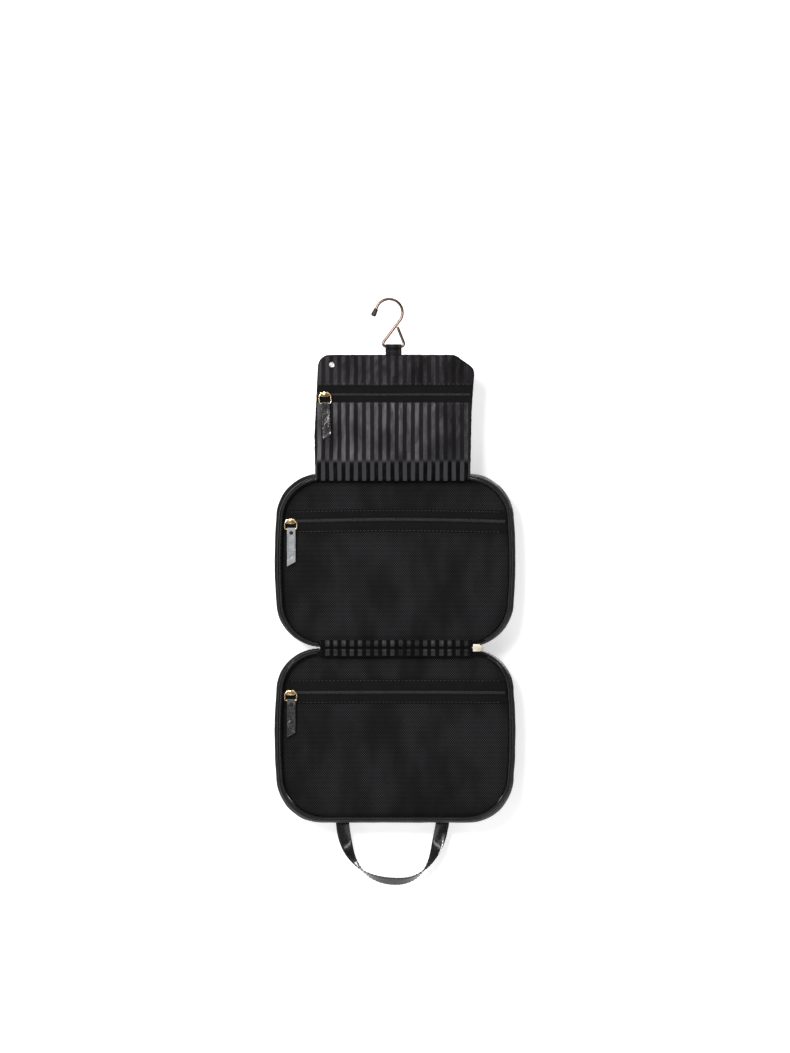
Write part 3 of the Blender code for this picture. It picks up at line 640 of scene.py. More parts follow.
def satin(name, flap=True):
    """Black satin with woven vertical stripes, shiny and matt by turns. How light the stripes are is
    painted sheen, with painted shade in places.
    """
    s = Shader(name, (0.02, 0.018, 0.02), 0.4, Specular_IOR_Level=0.07)
    x = s.math("SUBTRACT", s.x, SHIFT_X / MM)
    bend = s.math("MULTIPLY_ADD", s.noise(30, 1.0), 1.2, -0.6)
    wave = s.wave(s.math("ADD", x, bend), STRIPE_PITCH, STRIPE_X)
    stripe = s.remap(wave, 0.38, 0.62)
    # glow: broad patches of painted sheen, the light that the satin's folds catch, strong on the shiny
    # stripes and faint on the matt ones
    glow = s.remap(s.noise(26, 2.0, stretch=(1.0, 1.0, 0.45)), 0.3, 0.68, 0.25, 1.25)
    if flap:
        low = s.remap(s.z, -163.0, -157.0, 1.0, 0.0)
        # the painted sheen is weaker above the zip
        high = s.remap(s.z, -92.0, -84.0)
        painted_sheen = s.math("MULTIPLY", glow, s.math("MULTIPLY_ADD", high, -0.72, 1.0))
        # painted shade: the painted sheen fades towards the flap's right side, away from the light
        right = s.remap(x, 5.0, 70.0, 1.0, 0.45)
        painted_sheen = s.math("MULTIPLY", painted_sheen, right)
        # shiny: the shiny stripes' colour, from dark up to the painted sheen
        shiny = s.mix(painted_sheen, (0.009, 0.0085, 0.009), (0.064, 0.061, 0.065))
        main = s.mix(stripe, s.mix(glow, (0.003, 0.0025, 0.003), (0.012, 0.0105, 0.012)), shiny)
        # at the flap's foot the matt stripes are painted light and the shiny ones dark: painted sheen where
        # the cloth curves
        foot = s.mix(stripe, (0.033, 0.032, 0.035), (0.0015, 0.0015, 0.0015))
        color = s.mix(low, main, foot)
    else:
        # painted shade: a dark line along the hinge's crease and dark rows along its edges
        middle = s.math("ABSOLUTE", s.math("ADD", s.z, 347.0))
        row = s.math("MULTIPLY", s.remap(middle, 0.6, 2.0), s.remap(middle, 8.4, 7.0))
        # painted shade at the strip's ends, where it runs in under the trays
        ends = s.remap(s.math("ABSOLUTE", x), 76.0, 70.0)
        bars = s.math("MULTIPLY", s.math("MULTIPLY", stripe, row), s.math("MULTIPLY", glow, ends))
        color = s.mix(bars, (0.0015, 0.0015, 0.0015), (0.028, 0.0275, 0.029))
    s.color(color)
    s.rough(s.remap(stripe, 0, 1, 0.8, 0.4))
    s.put(s.math("MULTIPLY", stripe, 0.6), s.bsdf.inputs["Metallic"])
    warp = s.wave(s.math("ADD", x, s.z), 0.62)
    weft = s.wave(s.math("SUBTRACT", x, s.z), 0.62)
    return s.bump((s.math("MULTIPLY", warp, weft), 0.05), (stripe, 0.06), (s.noise(6, 3.0), 0.5),
                  (s.noise(17, 2.0, stretch=(1.0, 1.0, 0.6)), 2.8))


def leather(name, color=(0.006, 0.0055, 0.006), roughness=0.36, grain=1.0):
    """Fine-grained black faux leather, a little lighter in random patches."""
    s = Shader(name, color, roughness, Specular_IOR_Level=0.35)
    cell = s.cells(1.1 * grain)
    fine = s.noise(0.5 * grain, 2.0)
    patch = s.noise(34, 3.0)
    light = tuple(c * 1.5 + 0.001 for c in color)
    s.color(s.mix(s.remap(patch, 0.35, 0.7), color, light))
    s.rough(s.remap(s.noise(14, 4.0), 0.3, 0.7, roughness - 0.06, roughness + 0.12))
    return s.bump((s.remap(cell, 0.0, 0.7), 0.08), (fine, 0.03), (s.noise(7, 3.0), 0.25))


def woven(name, color, roughness, pitch=0.8, twill=True, spread=1.8):
    """Matt woven tape or lining."""
    s = Shader(name, color, roughness, Specular_IOR_Level=0.1)
    if twill:
        bend = s.math("PINGPONG", s.math("ADD", s.z, s.y), 2.4)
        ribs = s.wave(s.math("ADD", s.x, bend), pitch)
    else:
        ribs = s.wave(s.math("ADD", s.math("ADD", s.x, s.z), s.y), pitch)
    threads = s.wave(s.math("SUBTRACT", s.math("ADD", s.z, s.y), s.math("MULTIPLY", s.x, 0.3)), pitch * 0.8)
    lit = tuple(c * spread for c in color)
    s.color(s.mix(s.math("MULTIPLY", ribs, s.remap(s.noise(9, 3.0), 0.3, 0.7, 0.3, 1.0)), color, lit))
    return s.bump((ribs, 0.12), (threads, 0.06), (s.noise(8, 3.0), 0.3))


def net(name):
    """Open diamond net: knitted threads with clear holes between them, and a painted highlight at each
    knot.
    """
    s = Shader(name, (0.02, 0.02, 0.021), 0.75, Specular_IOR_Level=0.05)
    a = s.math("ADD", s.math("DIVIDE", s.x, 2.15), s.math("DIVIDE", s.z, 2.5))
    b = s.math("SUBTRACT", s.math("DIVIDE", s.x, 2.15), s.math("DIVIDE", s.z, 2.5))
    near_a = s.math("PINGPONG", a, 0.5)
    near_b = s.math("PINGPONG", b, 0.5)
    thread = s.math("MINIMUM", near_a, near_b)
    hole = s.remap(thread, 0.235, 0.245)
    # painted highlight where the threads cross; drift makes it stronger and weaker in broad waves
    knot_highlight = s.remap(s.math("MAXIMUM", near_a, near_b), 0.1, 0.36, 1.0, 0.0)
    drift = s.remap(s.noise(30, 2.0, stretch=(1.0, 1.0, 0.5)), 0.32, 0.66, 0.45, 1.0)
    s.color(s.mix(s.math("MULTIPLY", knot_highlight, drift), (0.002, 0.002, 0.0023), (0.052, 0.052, 0.055)))
    s.put(s.math("SUBTRACT", 1.0, hole), s.bsdf.inputs["Alpha"])
    return s.bump((s.math("SUBTRACT", 0.5, thread), 0.05))


def metal(name, color, roughness, scratch=0.25, tone=None):
    s = Shader(name, color, roughness, 1.0)
    tone = tone or tuple(c * 0.72 for c in color)
    s.color(s.mix(s.remap(s.noise(12, 3.0), 0.35, 0.75), color, tone))
    s.rough(s.remap(s.noise(1.2, 5.0, 0.7), 0.3, 0.75, roughness * 0.8, roughness + scratch * 0.3))
    return s.bump((s.noise(0.7, 4.0), 0.008), (s.noise(4.0, 2.0), 0.02))


def patent(name, color=(0.012, 0.011, 0.012), crinkle=1.0):
    """Glossy crinkled patent coating."""
    s = Shader(name, color, 0.2, Specular_IOR_Level=0.6, Coat_Weight=0.8, Coat_Roughness=0.06)
    folds = s.cells(4.6, "SMOOTH_F1")
    s.color(s.mix(s.noise(5, 3.0), color, tuple(c * 2.0 for c in color)))
    s.rough(s.remap(s.noise(3, 4.0), 0.3, 0.7, 0.12, 0.34))
    return s.bump((folds, 0.5 * crinkle), (s.noise(2.3, 4.0), 0.35 * crinkle), (s.cells(0.9), 0.03))


def plastic(name, color, roughness):
    s = Shader(name, color, roughness, Specular_IOR_Level=0.4)
    s.color(s.mix(s.noise(2.5, 3.0), color, tuple(c * 2.0 for c in color)))
    s.rough(s.remap(s.noise(1.5, 3.0), 0.3, 0.7, roughness - 0.08, roughness + 0.12))
    return s.bump((s.noise(0.6, 3.0), 0.03))


def rubber(name):
    s = Shader(name, (0.013, 0.012, 0.014), 0.42, Specular_IOR_Level=0.4)
    s.color(s.mix(s.remap(s.noise(3, 4.0), 0.4, 0.7), (0.01, 0.01, 0.011), (0.03, 0.028, 0.03)))
    s.rough(s.remap(s.noise(1.5, 4.0), 0.3, 0.7, 0.34, 0.58))
    return s.bump((s.noise(0.5, 3.0), 0.04), (s.cells(1.5), 0.03))


def yarn(name, color):
    s = Shader(name, color, 0.55, Sheen_Weight=0.2)
    twist = s.wave(s.math("ADD", s.math("ADD", s.x, s.z), s.y), 0.42)
    # painted shade: the colour is darker in the twist's grooves
    s.color(s.mix(twist, tuple(c * 0.5 for c in color), color))
    return s.bump((twist, 0.06))


SATIN = satin("satin_stripe_cloth")
SATIN_HINGE = satin("satin_hinge_cloth", flap=False)
LEATHER = leather("faux_leather_grain")
PIPING = leather("piping_leather", (0.006, 0.0055, 0.006), 0.34, 0.8)
LINING = woven("lining_weave", (0.0025, 0.0025, 0.003), 0.8, 1.1, twill=False)
NET = net("diamond_net")
TAPE = woven("zip_tape_herringbone", (0.0035, 0.0034, 0.0038), 0.75, 0.9)
BINDING = woven("binding_grosgrain", (0.003, 0.003, 0.0033), 0.8, 0.9, twill=False)
STUD = plastic("stud_black", (0.002, 0.002, 0.002), 0.75)
COIL = plastic("nylon_coil", (0.017, 0.017, 0.018), 0.34)
GOLD = metal("pale_gold_plating", (0.93, 0.72, 0.42), 0.2, tone=(0.62, 0.4, 0.18))
# a lighter copy of the pale gold for the main slider: painted highlight
GOLD_PAINTED_HIGHLIGHT = metal("pale_gold_painted_highlight", (1.0, 0.94, 0.8), 0.42, tone=(0.97, 0.86, 0.66))
BRONZE = metal("rose_bronze_plating", (0.21, 0.135, 0.105), 0.22, tone=(0.11, 0.075, 0.06))
NICKEL = metal("satin_nickel", (0.6, 0.59, 0.58), 0.32)
RUBBER = rubber("tip_rubber_matt")
PATENT = patent("patent_crinkle")
# a light grey copy of the black patent: painted reflection of the light on the upper pocket pull's gloss
PATENT_PAINTED_REFLECTION = patent("patent_crinkle_painted_reflection", (0.17, 0.174, 0.18), 0.9)
STRAP = patent("patent_strap_smooth", (0.005, 0.0045, 0.005), 0.03)
THREAD = yarn("sewing_thread", (0.045, 0.042, 0.045))
TAPE_THREAD = yarn("tape_thread_black", (0.004, 0.004, 0.0042))
DARK_THREAD = yarn("sewing_thread_black", (0.01, 0.0095, 0.01))


def piece(obj, body, slot, *nodes):
    """Ride on a body and stand for CAD nodes. The slot is not used."""
    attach(obj, body)
    if nodes:
        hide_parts(*nodes)
    return obj


def sew(body, name, rows, thread, length, gap, radius, closed=False):
    """A row of stitches that rides on a body and stands for no CAD node."""
    return piece(stitches(name, rows, thread, length, gap, radius, closed), body, None)


# ---------------------------------------------------------------- the hook

def hook_points():
    begin, end = math.radians(163.8), math.radians(-37.0)
    bow = []
    for k in range(61):
        a = begin + (end - begin) * k / 60
        bow.append((BOW[0] + BOW_R * math.cos(a), BOW[1] + BOW_R * math.sin(a)))
    first = Vector(bow[0])
    lead = [tuple(first + TIP_DIR * s) for s in (4.5, 3.0, 1.5)]
    corner = fillet([bow[-1], (-14.8, BAR_Z), (10.4, BAR_Z), (2.9, -27.4)], (0, 3.0, 3.0, 0), 14)
    return lead + bow + corner[1:], first


def build_hook():
    line, first = hook_points()
    line = resample([(x, z) for x, z in line], 0.7, closed=False)
    wire = tube("hook_bent_wire", [(x, HOOK_Y, z) for x, z in line], WIRE_R, BRONZE, 20,
                up=DEPTH, round_ends=True)
    piece(wire, "hook", "rose_bronze", "hook_wire")
    start = first + TIP_DIR * 0.2
    axis = (TIP_DIR.x, 0.0, TIP_DIR.y)
    tip = lathe(
        "hook_rubber_tip",
        ((0.9, 0.1), (1.75, 0.0), (2.1, 0.25), (2.25, 0.9), (2.2, 1.6), (2.35, 2.6), (2.5, 4.4),
         (2.6, 5.8), (2.55, 6.8), (2.3, 7.6), (1.4, 8.0), (0.0, 8.1)),
        (start.x, HOOK_Y, start.y), axis, RUBBER, 28,
    )
    piece(tip, "hook", "tip_rubber", "hook_tip")


def build_tab():
    """The cloth loop round the hook's bar: two layers that go into the flap's top edge."""
    path = [(-2.9, -69.5), (-2.9, -60.0), (-2.95, -55.0), (-3.9, -52.6), (-4.9, -50.4), (-5.05, -48.6)]
    for k in range(25):
        a = math.radians(-16 + 316 * k / 24)
        path.append((HOOK_Y + 2.12 * math.cos(a), BAR_Z + 2.12 * math.sin(a)))
    path += [(-6.05, -49.0), (-5.75, -50.4), (-5.5, -51.6)]
    path = resample(path, 0.6, closed=False)
    verts_rows = []
    columns = 26
    for i, (y, z) in enumerate(path):
        row = []
        for c in range(columns + 1):
            u = c / columns
            x = -9.5 + 16.0 * u
            edge = min(u, 1 - u)
            fold = 0.16 * lumps(x, i * 0.3, z, 4.0, 3.0)
            row.append((x + 0.15 * lumps(0, i * 0.4, z, 3.0), y + fold + 0.12 * smooth(0.08, 0.0, edge), z))
        verts_rows.append(row)
    tab = loft("hook_tab_cloth", verts_rows, SATIN, cyclic=False)
    thicken(tab, 0.62)
    soften(tab, 0.15)
    piece(tab, "flap", "satin_stripe", "hook_tab")
    rows = [((-9.0 + 15.0 * k / 14, -5.75, -51.3), (0, -1, 0.3)) for k in range(15)]
    sew("flap", "hook_tab_stitches", rows, THREAD, 2.0, 1.1, 0.2)


# ---------------------------------------------------------------- the flap

FLAP_OUTLINE = resample(
    fillet([(x, z) for x, z, _ in FLAP_CORNERS], [r for _, _, r in FLAP_CORNERS], 12), 1.0
)


def near_pull(x, z):
    """1 where the flap's own pull hangs, 0 away from it."""
    return smooth(-54, -62, x) * smooth(-160, -148, z) * smooth(-74, -84, z)


def flap_warp(x, z):
    """How far the flap's cloth stands back from its flat plane, in millimetres."""
    y = 0.55 * lumps(x, 0, z, 30.0, 1.0) + 0.38 * lumps(x, 0, z * 0.7, 12.0, 5.0)
    # folds pulled from the tab towards the right
    dx, dz = x + 1.0, z + 50.0
    reach = math.hypot(dx, dz)
    angle = math.atan2(-dz, dx)
    fan = math.sin(angle * 11.0 + 2.2 * lumps(x, 0, z, 16.0))
    y += 0.5 * fan * smooth(6, 16, reach) * smooth(52, 24, reach)
    # a dent below the zip and a dimple at the right
    along = (x + 10.0) * 0.98 + (z + 121.5) * 0.17
    across = (z + 121.5) - (x + 10.0) * 0.10
    y += 0.9 * math.exp(-((along / 17.0) ** 2) - (across / 3.2) ** 2)
    y += 0.8 * math.exp(-(((x - 70.0) / 3.5) ** 2) - ((z + 119.0) / 3.5) ** 2)
    y -= 0.35 * math.exp(-(((x - 62.0) / 6) ** 2) - ((z + 126.0) / 9) ** 2)
    # the left edge ripples, and the top right corner rolls back
    y += 0.45 * math.sin(z * 0.36) * smooth(-68, -79, x) * smooth(-100, -112, z)
    roll = (x - 52.0) * 0.62 + (z + 70.0) * 0.95
    if roll > 0:
        y += 0.004 * roll * roll
    y -= 0.2
    # calm at the zip, at the foot and under the pull, and pressed flat where the
    # folded hook's tip lies
    calm = math.exp(-(((z - FLAP_ZIP) / 11.0) ** 2)) * smooth(20, -50, x)
    calm = max(calm, 0.95 * smooth(-160, -176, z))
    y *= 1.0 - 0.95 * calm
    y += (0.2 - y) * near_pull(x, z)
    y *= 1.0 - 0.8 * math.exp(-(((z - WINDOW_BOTTOM + 2.0) / 6.0) ** 2))
    tip = smooth(-34, -28, x) * smooth(-8, -13, x) * smooth(-94, -89, z) * smooth(-70, -74, z)
    y += (0.3 - y) * tip
    # soft limits, so that the closed bag has room for the flap and the hook
    return 0.1 * math.tanh(y / 0.1) if y > 0 else 0.5 * math.tanh(y / 0.5)


def flap_face(side, lips=()):
    """Surface of the flap's front (-1) or back (1) cloth, round at the outline.

    lips holds the level and the side of each edge that is turned in at the zip.
    """
    rim = np.array(FLAP_OUTLINE)

    def surface(x, z, _):
        d = float(np.sqrt(((rim - (x, z)) ** 2).sum(1)).min())
        d = max(d - 0.35, 0.0)
        t = 1 - min(d / 1.7, 1.0)
        bulge = FLAP_HALF * math.sqrt(max(1 - t * t, 0.0))
        free = 1 - near_pull(x, z)
        puff = 0.25 * smooth(2, 30, d) * free if side < 0 else 0.0
        puff *= 1 - math.exp(-(((z - WINDOW_BOTTOM) / 8.0) ** 2))
        y = FLAP_MID_Y + side * (bulge + puff) + flap_warp(x, z)
        for level, sign in lips:
            gap = sign * (z - level)
            y += 0.75 * smooth(1.0, 0.0, gap)
            y -= 0.12 * smooth(3.4, 1.2, gap) * smooth(0.4, 1.2, gap) * free
            y += 0.13 * math.sin(x * 1.5) * smooth(4.0, 0.8, gap)
        return (x, y, z)

    return surface


def build_flap():
    top = keep_side(FLAP_OUTLINE, WINDOW_TOP, True)
    pocket = keep_side(FLAP_OUTLINE, WINDOW_BOTTOM, False)
    top_face = flap_face(-1, ((WINDOW_TOP, 1),))
    pocket_face = flap_face(-1, ((WINDOW_BOTTOM, -1),))
    back = panel("flap_back_cloth", FLAP_OUTLINE, 2.6, flap_face(1), SATIN, 0.4, -1.0)
    piece(back, "flap", "satin_stripe", "flap_back_panel", "flap_edge")
    front_top = panel("flap_top_cloth", top, 1.9, top_face, SATIN, 0.4)
    piece(front_top, "flap", "satin_stripe", "flap_top_panel")
    front_low = panel("flap_pocket_cloth", pocket, 1.9, pocket_face, SATIN, 0.4)
    piece(front_low, "flap", "satin_stripe", "flap_pocket_front")
    for obj, outline in ((back, FLAP_OUTLINE), (front_top, top), (front_low, pocket)):
        xs, zs = [p[0] for p in outline], [p[1] for p in outline]
        (max(xs) - min(xs)) * MM
        (max(zs) - min(zs)) * MM
        abs(polygon_area(outline)) * 1e-6

    def tape_surface(x, z, d):
        return (x, -3.05 + 0.8 * flap_warp(x, z) + 0.1 * lumps(x, 3, z, 5.0), z)

    inner = resample(fillet([(x * 0.985, z) for x, z, _ in FLAP_CORNERS],
                            [r for _, _, r in FLAP_CORNERS], 8), 1.5)
    for name, z1, z0, node in (
        ("flap_tape_upper", WINDOW_TOP + 2.0, FLAP_ZIP + 1.0, "flap_zip_tape_top"),
        ("flap_tape_lower", FLAP_ZIP - 1.0, WINDOW_BOTTOM - 2.0, "flap_zip_tape_bottom"),
    ):
        strip = keep_side(keep_side(inner, z1, False), z0, True)
        obj = panel(name, strip, 2.2, tape_surface, TAPE, 0.45)
        piece(obj, "flap", "zip_tape", node)
    line = [(x, FLAP_ZIP) for x in np.arange(-78.0, 75.5, 1.0)]
    make_coil("flap_coil", [(x, -3.75 + 0.8 * flap_warp(x, z), z) for x, z in line], 1.25, 0.85,
              0.34, "flap", "flap_zip_coil")
    for name, face, level, low, high in (
        ("flap_stitches_top", top_face, WINDOW_TOP + 1.5, -77.0, 75.5),
        ("flap_stitches_bottom", pocket_face, WINDOW_BOTTOM - 1.5, -78.0, 74.5),
    ):
        rows = []
        for x in np.arange(low, high, 1.0):
            p = face(float(x), level, 0)
            rows.append(((p[0], p[1] - 0.02, p[2]), TO_FRONT))
        sew("flap", name, rows, THREAD, 2.8, 1.9, 0.2)
    # the seam near the flap's outline, seen on the back
    face = flap_face(1)
    rows = []
    for x, z in resample(inset(FLAP_OUTLINE, 3.0), 1.5):
        p = face(x, z, 0)
        rows.append(((p[0], p[1] - 0.1, p[2]), TO_BACK))
    sew("flap", "flap_edge_stitches", rows, DARK_THREAD, 2.6, 1.4, 0.2, closed=True)
    build_snap()


def build_snap():
    x, z = SNAP
    foot = (x, flap_face(-1)(x, z, 0)[1] + 0.1, z)
    socket = ((3.3, 0.0), (3.3, 0.35), (2.9, 0.6), (2.4, 0.5))
    piece(lathe("flap_snap_socket", socket, foot, TO_FRONT, COIL), "flap", None)
    cap = ((2.75, 0.3), (2.75, 0.75), (2.5, 1.15), (2.0, 1.3), (1.6, 1.05),
           (1.25, 1.05), (1.0, 1.35), (0.5, 1.5), (0.0, 1.52))
    piece(lathe("flap_snap_cap", cap, foot, TO_FRONT, NICKEL), "flap", "snap_nickel", "flap_snap")


def inset(points, distance):
    """A closed anticlockwise or clockwise outline moved inwards."""
    sign = 1 if polygon_area(points) > 0 else -1
    out = []
    count = len(points)
    for i in range(count):
        a, b = Vector(points[i - 1]), Vector(points[(i + 1) % count])
        t = (b - a).normalized()
        out.append(tuple(Vector(points[i]) + Vector((-t.y, t.x)) * distance * sign))
    return out


def make_coil(name, path, pitch, half, wire_r, body, node, deep=0.5):
    """A closed nylon zip: two meshed coils, each sewn along its tape."""
    coils = []
    for side in (-1, 1):
        shifted = [(x, y, z + side * half * 0.55) for x, y, z in path]
        line = helix(shifted, pitch, half * 0.62, deep, False, DEPTH, 8,
                     0.0 if side > 0 else math.pi)
        coils.append(tube("coil", line, wire_r, COIL, 5))
    obj = join(name, coils)
    obj.data.shade_smooth()
    return piece(obj, body, "zip_coil", node)


# ---------------------------------------------------------------- sliders, rings and pulls

def polish(node, mat, body, slot, width=0.22):
    """A metal part shaped like the CAD's, with its edges rounded and a finished material."""
    source = NODES[node]
    mesh = bpy.data.meshes.new(node + "_rounded")
    bm = bmesh.new()
    bm.from_mesh(source.data)
    bm.transform(source.matrix_world)
    bmesh.ops.remove_doubles(bm, verts=bm.verts, dist=2e-6)
    for face in bm.faces:
        face.material_index = 0
        face.smooth = True
    bm.to_mesh(mesh)
    bm.free()
    mesh.materials.append(mat)
    obj = bpy.data.objects.new(node + "_rounded", mesh)
    bpy.context.scene.collection.objects.link(obj)
    soften(obj, width, 3, 40.0).harden_normals = True
    return piece(obj, body, slot, node)


def strap(name, columns, path, mat, half_width, centre_x, thickness, cut, crinkle, seed, wrap_z):
    """A strip of coated cloth: path holds (y, z) along it, and cut slants both its ends.

    The crinkle fades out towards wrap_z, where the strap goes round its ring.
    """
    rows = []
    count = len(path)
    for i, (y, z) in enumerate(path):
        row = []
        share = i / (count - 1)
        for c in range(columns + 1):
            u = c / columns * 2 - 1
            slant = cut * u * half_width * (smooth(0.2, 0.0, share) + smooth(0.84, 1.0, share))
            x = centre_x + u * half_width + 0.18 * lumps(0, seed, z, 5.0, seed)
            wave = crinkle * (lumps(x, seed, z, 3.2, seed) + 0.6 * lumps(x, seed, z, 1.7, seed + 4))
            row.append((x, y + wave * smooth(2.0, 7.0, abs(z - wrap_z)) - 0.10 * u * u, z + slant))
        rows.append(row)
    obj = loft(name, rows, mat, cyclic=False)
    thicken(obj, thickness)
    soften(obj, 0.12)
    return obj


def build_pull_set(prefix, part, x, z, coil_y, ring_size, length, strap_x, tilt, mat):
    """The ring and the strap of a pocket zip, made like the CAD's and then turned by tilt."""
    ring_y = coil_y - 0.35 - 0.9 - 0.3 - 0.6
    width, height = ring_size
    top = z + 1.75
    bottom = top - height
    corners = [(x + width / 2, bottom), (x + width / 2, top), (x - width / 2, top), (x - width / 2, bottom)]
    loop = resample(fillet(corners, (1.7, 4.6, 4.6, 1.7), 12), 0.5)
    turn = Matrix.Rotation(math.radians(tilt), 3, "Y")
    centre = Vector((x, ring_y, z))

    def turned(obj):
        for v in obj.data.vertices:
            p = Vector((v.co.x / MM - SHIFT_X / MM, v.co.y / MM - SHIFT_Y / MM, v.co.z / MM))
            v.co = Vector(world(*(centre + turn @ (p - centre))))
        return obj

    ring = tube(prefix + "_round_ring", [(a, ring_y, b) for a, b in loop], 0.62, GOLD, 14, closed=True,
                up=DEPTH)
    piece(turned(ring), part + "_ring", "pale_gold", prefix + "_ring")
    # the strap goes round the ring's foot: a short front layer over a long back one
    r = 1.15
    end_front, end_back = bottom - length + 8.5, bottom - length
    arc = []
    for k in range(15):
        a = math.radians(180 * k / 14)
        arc.append((ring_y + r * math.cos(a), bottom + r * math.sin(a)))
    back = resample([(ring_y + 0.35, end_back), (ring_y + 0.38, bottom - 8), (ring_y + 0.6, bottom - 4)]
                    + [arc[0]], 0.9, closed=False)
    front = resample([arc[-1], (ring_y - 0.6, bottom - 4), (ring_y - 0.42, bottom - 8),
                      (ring_y - 0.5, end_front)], 0.9, closed=False)
    whole = list(back) + arc[1:-1] + list(front)
    pull = strap(prefix + "_patent_pull", 14, whole, mat, 4.2, strap_x, 0.6, 0.55, 0.13, x * 0.1, bottom)
    piece(turned(pull), part + "_pull", "patent_strap", prefix + "_pull")
    for word, side in (("left", -3.2), ("right", 3.2)):
        rows = [((strap_x + side, ring_y - 0.95, float(b)), TO_FRONT)
                for b in np.linspace(bottom - 5.5, end_front + 3.0, 20)]
        turned(sew(part + "_pull", prefix + "_pull_stitches_" + word, rows, DARK_THREAD, 1.7, 0.9, 0.16))
    stud = lathe(prefix + "_pull_stud", ((2.0, 0.0), (2.0, 0.35), (1.6, 0.6), (0.0, 0.65)),
                 (strap_x, ring_y - 0.72, bottom - 3.6), TO_FRONT, STUD, 20)
    piece(turned(stud), part + "_pull", None)


# ---------------------------------------------------------------- the trays

def gusset_out(y):
    """How far the gusset's outside stands out from the rim at a depth y."""
    pts = GUSSET
    if y <= pts[0][0]:
        return pts[0][1]
    for (y0, a), (y1, b) in zip(pts, pts[1:]):
        if y <= y1:
            t = (y - y0) / (y1 - y0)
            return a + (b - a) * (t * 0.7 + 0.3 * t * t * (3 - 2 * t))
    return pts[-1][1]


class Rim:
    """Rings round a tray, each at a distance from the rim and a depth."""

    def __init__(self, spec):
        args = (spec["far"], spec["hinge"], spec["radii"])
        base = tray_outline(*args, 0.0)
        self.base = [Vector(p) for p in base]
        self.outward = [Vector(b) - Vector(a) for a, b in zip(base, tray_outline(*args, 1.0))]
        self.inward = [Vector(a) - Vector(b) for a, b in zip(base, tray_outline(*args, -1.0))]

    def ring(self, out, y, wobble=0.0, seed=0.0, size=14.0):
        points = []
        for p, o, i in zip(self.base, self.outward, self.inward):
            push = out
            if wobble:
                push += wobble * lumps(p.x, y * 1.6, p.y, size, seed)
            q = p + (o if push > 0 else i) * push
            points.append((q.x, y, q.y))
        return points

    def flat(self, out):
        return [(x, z) for x, _, z in self.ring(out, 0.0)]


def build_gusset(which, spec, rim, seed):
    """The leather side wall: outside, rolled front edge and inside, with two seams."""
    body = which + "_tray"
    rings = []
    for y in np.linspace(35.2, 1.6, 30):
        groove = 0.55 * math.exp(-(((y - 4.6) / 0.7) ** 2)) + 0.4 * math.exp(-(((y - 33.2) / 0.6) ** 2))
        wobble = 0.42 * smooth(3, 9, y) * smooth(35, 31, y)
        rings.append(rim.ring(gusset_out(y) - groove, float(y), wobble, seed))
    for out, y in ((0.25, 0.85), (-0.1, 0.45), (-0.7, 0.3), (-1.3, 0.45), (-1.55, 0.9)):
        rings.append(rim.ring(out, y))
    for y in np.linspace(2.0, 35.0, 14):
        rings.append(rim.ring(gusset_out(y) - 1.6, float(y), 0.3, seed + 3))
    shell = loft(which + "_gusset_leather", rings, LEATHER, close_rings=True)
    piece(shell, body, "faux_leather", which + "_gusset")
    middle_z = (spec["far"] + spec["hinge"]) / 2

    def outward(p):
        x, z = p[0], p[2] - middle_z
        if abs(x) < 70:
            return (0.15 * x / 70, 0, math.copysign(1.0, z))
        return (x * 0.55, 0, z) if abs(z) > 45 else (math.copysign(1, x), 0, 0)

    for word, y, lift in (("front", 3.3, 0.02), ("back", 31.9, 0.05)):
        ring = rim.ring(gusset_out(SEAM_OUT_Y[word]) + lift, y)
        rows = [(p, outward(p)) for p in ring]
        sew(body, which + "_gusset_stitches_" + word, rows, DARK_THREAD, 2.8, 1.4, 0.2, closed=True)


def build_back(which, spec, seed):
    """The back panel with its soft crown, its seam and its piping."""
    body = which + "_tray"
    sign = 1 if spec["far"] > spec["hinge"] else -1
    hinge_tuck = spec["hinge"] + sign * 1.4
    back_outline = tray_outline(spec["far"], hinge_tuck, spec["radii"], -1.2)
    seam_inset = 8.2

    def back_surface(x, z, d):
        crown = 0.9 * smooth(0, 26, d) + 0.25 * lumps(x, 2, z, 34, seed) * smooth(2, 14, d)
        seam = 0.5 * math.exp(-(((d - 6.5) / 0.8) ** 2))
        return (x, BACK_Y + crown - 0.9 * smooth(3.0, 0.0, d) - seam, z)

    back = panel(which + "_back_leather", back_outline, 2.8, back_surface, LEATHER, 0.9, -1.0)
    piece(back, body, "faux_leather", which + "_back_panel")
    rows = []
    for x, z in resample(inset(resample(back_outline, 2.0), seam_inset), 1.5):
        rows.append(((x, back_surface(x, z, seam_inset)[1] - 0.05, z), TO_BACK))
    sew(body, which + "_back_stitches", rows, DARK_THREAD, 2.8, 1.5, 0.2, closed=True)
    cord = resample(tray_outline(spec["far"], hinge_tuck, spec["radii"], 0.2), 1.3)
    path = [(x, PIPING_Y + 0.12 * lumps(x, 0, z, 6.0), z) for x, z in cord]
    piping = tube(which + "_piping_cord", path, 1.15, PIPING, 12, closed=True, up=DEPTH)
    piece(piping, body, "piping_cord", which + "_back_piping")


